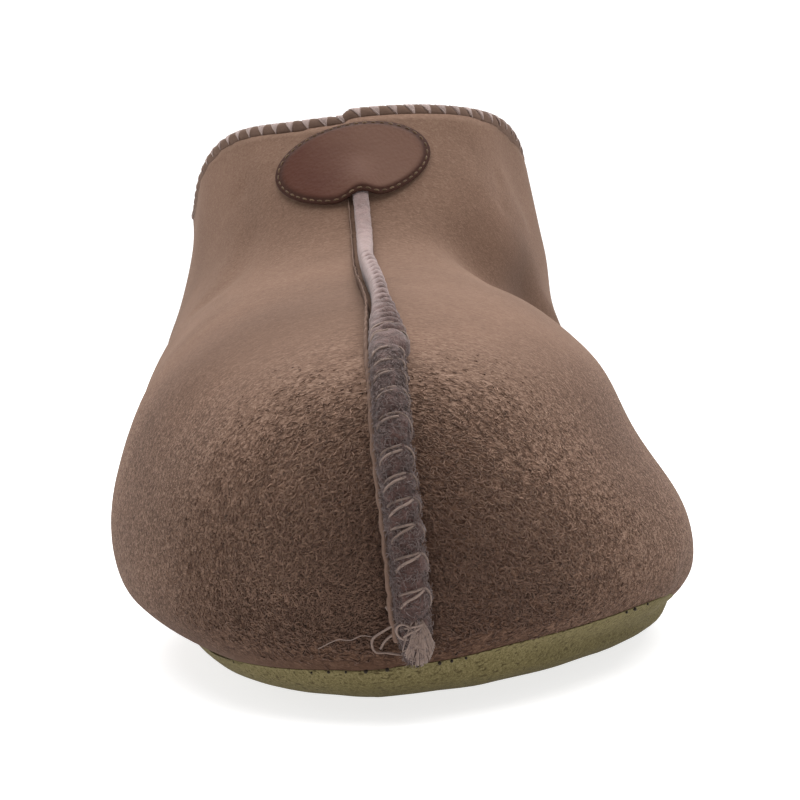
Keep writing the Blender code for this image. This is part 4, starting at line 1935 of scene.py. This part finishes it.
@dataclass
class CollarEdge:
    """Overlocked edge of the collar: suede lobes with pale wool and thread between them."""

    lobe: Suede
    tuft: Wool
    thread: Fibre
    half_width: float = 1.45
    half_height: float = 1.8
    sink: float = 0.45
    step: float = 1.3
    step_place: float = -4.0
    step_span: Pair = (-42.0, -16.0)
    step_soft: float = 0.8
    ring_dense: int = 2001
    ring_stops: int = 901
    front_span: Pair = (-44.0, -18.0)
    pitch: float = 4.0
    slant: float = 0.45
    swell: float = 0.55
    swell_mean: float = 0.6
    swell_low: float = 0.3
    sizes: Pair = (0.35, 1.0)
    lobe_rows: int = 10
    lobe_sides: int = 24
    rough: float = 0.15
    rough_size: float = 1.8
    wedge_half: float = 1.25
    wedge_vary: Pair = (0.8, 1.15)
    wedge_top: float = 1.15
    wedge_start: float = 86.0
    wedge_turn: float = 100.0
    wedge_bulge: float = 0.3
    wedge_in: float = 0.1
    wedge_up: float = 0.12
    tuft_shades: Pair = (0.35, 0.75)
    tuft_vary: Pair = (0.8, 1.2)
    lobe_soil: float = 0.12
    waves: int = 9
    thread_radius: float = 0.15
    thread_steps: int = 18
    thread_turns: Pair = (-14.0, 194.0)
    thread_spread: float = 0.8
    thread_stray: float = 0.1
    thread_over: Pair = (0.1, 0.15)
    thread_sides: int = 5
    line: Line | None = None
    count: int = 0

    def build(self) -> None:
        """Makes the lobes, the tufts and the thread."""
        self.build_lobes()
        self.build_tufts()
        self.build_thread()

    def lay(self) -> None:
        """Reads the middle line of the collar's solid as a smooth ring."""
        points = pushed(read_points(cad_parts["collar_edge"]))
        middle = points.mean(axis=0)
        turn = np.arctan2(points[:, 1] - middle[1], points[:, 0] - middle[0])

        def waves(angle: Array) -> Array:
            """Round waves that the ring is made of.

            Args:
                angle: Angles round the ring.

            Returns:
                One row of waves for each angle.
            """
            parts = [np.ones_like(angle)]
            for order in range(1, self.waves + 1):
                parts += [np.cos(order * angle), np.sin(order * angle)]
            return np.stack(parts, axis=-1)

        weights = np.linalg.lstsq(waves(turn), points, rcond=None)[0]
        dense = waves(np.linspace(-math.pi, math.pi, self.ring_dense)) @ weights
        left = ease(self.step_place - dense[:, 0], -self.step_soft, self.step_soft)
        left = left * ease(dense[:, 0], *self.step_span)
        dense[:, 2] -= self.sink + self.step * left * (dense[:, 1] < middle[1])
        travel = travelled(dense)
        base = read_between(np.linspace(0.0, travel[-1], self.ring_stops), travel, dense)
        along = np.gradient(base, axis=0)
        along[0] = along[-1] = base[1] - base[-2]
        along = unit(along)
        across = unit(np.cross(along, (0.0, 0.0, 1.0)))
        self.line = Line(base, across, unit(np.cross(across, along)), float(travel[-1]), closed=True)
        self.count = round(self.line.length / self.pitch)

    def lobes(self, distance: Array) -> Array:
        """Swell of the edge: 0 at a notch and 1 halfway to the next."""
        share = np.abs((distance * self.count / self.line.length) % 1.0 - 0.5) * 2.0
        return np.sqrt(np.clip(1.0 - share ** 2, 0.0, 1.0))

    def middle(self, distance: Array) -> Array:
        """Places on the edge's middle line."""
        return self.line.place(distance, 0.0 * distance, 0.0 * distance)

    def front(self, distance: Array) -> Array:
        """How near a place on the edge is to its front: 1 at the front seam, 0 at the sides and back."""
        return ease(-self.middle(distance)[..., 1], *self.front_span)

    def notches(self) -> Array:
        """Distances along the edge at which it is pinched."""
        return np.arange(self.count) * self.line.length / self.count

    def build_lobes(self) -> None:
        """Makes the bound edge, swelling between the notches."""
        steps = self.count * self.lobe_rows
        distance = (np.arange(steps) * self.line.length / steps)[:, None]
        angle = np.linspace(0.0, 2.0 * math.pi, self.lobe_sides, endpoint=False)[None, :]
        swell = self.lobes(distance + self.slant * self.half_height * np.sin(angle)) - self.swell_mean
        above = np.clip(np.sin(angle) + self.swell_low, 0.0, 1.0)
        swell = self.swell * swell * between(self.sizes, self.front(distance)) * above
        sideways = (self.half_width + swell) * np.cos(angle)
        height = (self.half_height + swell) * np.sin(angle)
        loops = self.line.place(distance, sideways, height)
        rough = self.rough * lumps(loops.reshape(-1, 3), self.rough_size, seed=21.0)
        loops = loops + rough.reshape(loops.shape[:2])[..., None] * unit(loops - self.middle(distance))
        bundle = Bundle()
        bundle.add(*loft(loops, closed=True))
        thing = bundle.build("collar_lobes")
        shade_and_soil = self.lobe_soil * above * np.ones_like(distance)
        mark_points(thing, "shade_and_soil", shade_and_soil.ravel())
        mark_points(thing, "calm", np.ones(shade_and_soil.size))
        hand_in(thing, self.lobe.material(), Slot.COLLAR, "collar_edge")

    def build_tufts(self) -> None:
        """Sets a wedge of pale wool in each notch, inside and outside the edge."""
        shape, triangles = ball_shape(3)
        bundle = Bundle()
        rng = np.random.default_rng(seed=17)
        down = 0.5 - 0.5 * shape[:, 2]
        bulge = self.wedge_bulge * shape[:, 1]
        wide = self.half_width - self.wedge_in + bulge
        tall = self.half_height + self.wedge_up + bulge
        for notch in self.notches():
            front = float(self.front(np.array(notch)))
            size = between(self.sizes, front)
            turn = np.radians(self.wedge_start - self.wedge_turn * size * down)
            for side in Side:
                width = self.wedge_half * size * rng.uniform(*self.wedge_vary) * (self.wedge_top - down)
                lean = self.slant * self.half_height * (down - 0.5) * side.value
                distance = notch + shape[:, 0] * width + lean
                points = self.line.place(distance, side.value * wide * np.cos(turn), tall * np.sin(turn))
                flip = triangles[:, ::-1] if side is Side.LEFT else triangles
                bundle.add(points, [flip], between(self.tuft_shades, front) * rng.uniform(*self.tuft_vary))
        hand_in(bundle.build("collar_tufts"), self.tuft.material(), Slot.COLLAR)

    def build_thread(self) -> None:
        """Sews two threads over the edge at each notch, spread at the top and joined below."""
        bundle = Bundle()
        rng = np.random.default_rng(seed=19)
        turn = np.radians(between(self.thread_turns, np.linspace(0.0, 1.0, self.thread_steps)))
        top = np.clip(np.sin(turn), 0.0, 1.0)
        lean = self.slant * self.half_height * (0.5 - top) * np.sign(np.cos(turn))
        wide = self.half_width + self.thread_over[0]
        tall = self.half_height + self.thread_over[1]
        for notch in self.notches():
            for side in Side:
                spread = side.value * self.thread_spread * self.wedge_half * top
                distance = notch + spread + lean + rng.uniform(-self.thread_stray, self.thread_stray)
                points = self.line.place(distance, wide * np.cos(turn), tall * np.sin(turn))
                bundle.add(*tube(points, self.thread_radius, self.thread_sides), rng.uniform(*PALE_SHADES))
        hand_in(bundle.build("collar_thread"), self.thread.material(), Slot.COLLAR)


@dataclass
class Studio:
    """Pale floor, soft light and the photo's camera."""

    eye: Spot = (-9.45, -399.8, 62.0)
    heading: float = 0.035
    roll: float = 0.06
    pitch: float = math.atan(79.0 / 1800.0)
    lens: float = 81.0
    sensor: float = 36.0
    nearest: float = 10.0
    floor_size: float = 8000.0
    floor_tone: float = 0.5
    mottle: float = 60.0
    mottle_dark: float = 0.98
    mottle_span: Pair = (0.3, 0.7)
    floor_glow: float = 0.76
    sun: float = 5.0
    sun_angle: float = 80.0
    sun_tilt: Pair = (-11.0, 4.5)
    air_front: float = 0.28
    air_back: float = 1.25
    air_span: Pair = (-0.4, 0.8)

    def build(self) -> None:
        """Sets up the floor, the light and the camera."""
        self.build_floor()
        self.build_air()
        tilt = [math.radians(turn) for turn in (*self.sun_tilt, 0.0)]
        bpy.ops.object.light_add(type="SUN", rotation=tilt)
        lamp = bpy.context.object
        lamp.name = "soft_overhead"
        lamp.data.energy = self.sun
        lamp.data.angle = math.radians(self.sun_angle)
        self.build_camera()
        view = bpy.context.scene.view_settings
        view.view_transform = "Standard"
        view.look = "None"

    def build_floor(self) -> None:
        """Lays the floor just under the sole."""
        bpy.ops.object.select_all(action="DESELECT")
        bpy.ops.mesh.primitive_plane_add(size=self.floor_size * MM)
        floor = bpy.context.object
        floor.name = "floor"
        graph = Graph("pale_floor")
        tones = (grey(self.floor_tone), grey(self.mottle_dark * self.floor_tone))
        tone = graph.ramp(graph.noise(self.mottle), list(zip(self.mottle_span, tones)))
        graph.shade(Base_Color=tone, Roughness=0.8, Specular_IOR_Level=0.1,
                    Emission_Color=(1.0, 1.0, 1.0, 1.0), Emission_Strength=self.floor_glow)
        floor.data.materials.append(graph.material)

    def build_air(self) -> None:
        """Lights the room: bright behind the boot, dim in front of it."""
        world = bpy.data.worlds.new("studio_air")
        bpy.context.scene.world = world
        world.use_nodes = True
        nodes = world.node_tree.nodes
        links = world.node_tree.links
        split = nodes.new("ShaderNodeSeparateXYZ")
        links.new(nodes.new("ShaderNodeTexCoord").outputs["Generated"], split.inputs[0])
        level = nodes.new("ShaderNodeMapRange")
        links.new(split.outputs["Y"], level.inputs["Value"])
        ends = {"From Min": self.air_span[0], "From Max": self.air_span[1], "To Min": self.air_front,
                "To Max": self.air_back}
        for name, value in ends.items():
            level.inputs[name].default_value = value
        links.new(level.outputs["Result"], nodes["Background"].inputs["Strength"])
        nodes["Background"].inputs["Color"].default_value = (1.0, 1.0, 1.0, 1.0)

    def build_camera(self) -> None:
        """Sets the camera at the photo's angle, close to the toe."""
        bpy.ops.object.camera_add()
        camera = bpy.context.object
        camera.name = "photo_camera"
        turn = Matrix.Rotation(-self.heading, 4, "Z") @ Matrix.Rotation(0.5 * math.pi, 4, "X")
        turn = turn @ Matrix.Rotation(-self.roll, 4, "Z") @ Matrix.Rotation(-self.pitch, 4, "X")
        camera.matrix_world = Matrix.Translation(Vector(self.eye) * MM) @ turn
        camera.data.lens = self.lens
        camera.data.sensor_width = self.sensor
        camera.data.clip_start = self.nearest * MM
        bpy.context.scene.camera = camera


def main() -> None:
    """Builds the boot's pieces in order, then the studio."""
    logging.basicConfig(level=logging.INFO, format="%(name)s %(message)s")
    taupe = Suede("suede_taupe", (0.075, 0.041, 0.028), (0.162, 0.096, 0.066), (0.28, 0.183, 0.135),
                  nap=0.5, strands=2.2, spread=0.12, depth=0.45, calm=0.8, sheen=0.08,
                  shade_and_soil=(0.37, 0.305, 0.265))
    lobe = Suede("suede_edge", (0.064, 0.038, 0.027), (0.132, 0.083, 0.062), (0.2, 0.137, 0.108), depth=0.2)
    tan = Suede("suede_cut_edge", (0.08, 0.048, 0.034), (0.14, 0.088, 0.066), (0.21, 0.142, 0.11),
                depth=0.2)
    olive = Suede("suede_olive", (0.1, 0.079, 0.033), (0.15, 0.122, 0.055), (0.2, 0.166, 0.082),
                  nap=0.4, clump=1.6, depth=0.15, shade_and_soil=(0.5, 0.48, 0.36), fleck=(0.05, 0.036, 0.014))
    brush = Fibre("suede_fibre", (0.048, 0.0225, 0.015), (0.4, 0.25, 0.177), sheen=0.02)
    felt = Wool("wool_felted", (0.08, 0.04, 0.033), (0.27, 0.188, 0.175))
    pile = Wool("wool_pile", (0.4, 0.3, 0.26), (0.62, 0.52, 0.46), calm=0.0, curl_size=1.6, depth=0.8)
    pale = Fibre("thread_mauve", (0.11, 0.074, 0.06), (0.235, 0.17, 0.142))
    rose = Fibre("thread_rose", (0.22, 0.155, 0.135), (0.4, 0.31, 0.28))
    tuft = Wool("wool_rose", (0.1, 0.062, 0.05), (0.44, 0.335, 0.305))
    hair = Fibre("wool_hair", (0.08, 0.052, 0.046), (0.2, 0.15, 0.14))
    khaki = Fibre("thread_khaki", (0.07, 0.04, 0.022), (0.15, 0.095, 0.055))
    # Near black: painted shade inside the sole's stitch holes.
    pit = Fibre("stitch_hole_shade", (0.02, 0.014, 0.009), (0.03, 0.02, 0.013))
    brown = Leather("leather_brown", (0.073, 0.026, 0.0165), (0.122, 0.063, 0.044), (0.045, 0.019, 0.013))

    collar = CollarEdge(lobe, tuft, rose)
    collar.lay()
    upper = Upper(taupe)
    skin = Surface(upper.build(collar.line))
    Sole(olive, pit).build(skin)
    Footbed(pile).build()
    Lining(pile).build(upper)
    seam = FrontSeam(felt, tan, pale, hair)
    seam.build(skin)
    Badge(brown, khaki).build(skin)
    collar.build()
    Nap(brush).build(upper, seam.line)
    Studio().build()


if __name__ == "__main__":
    main()
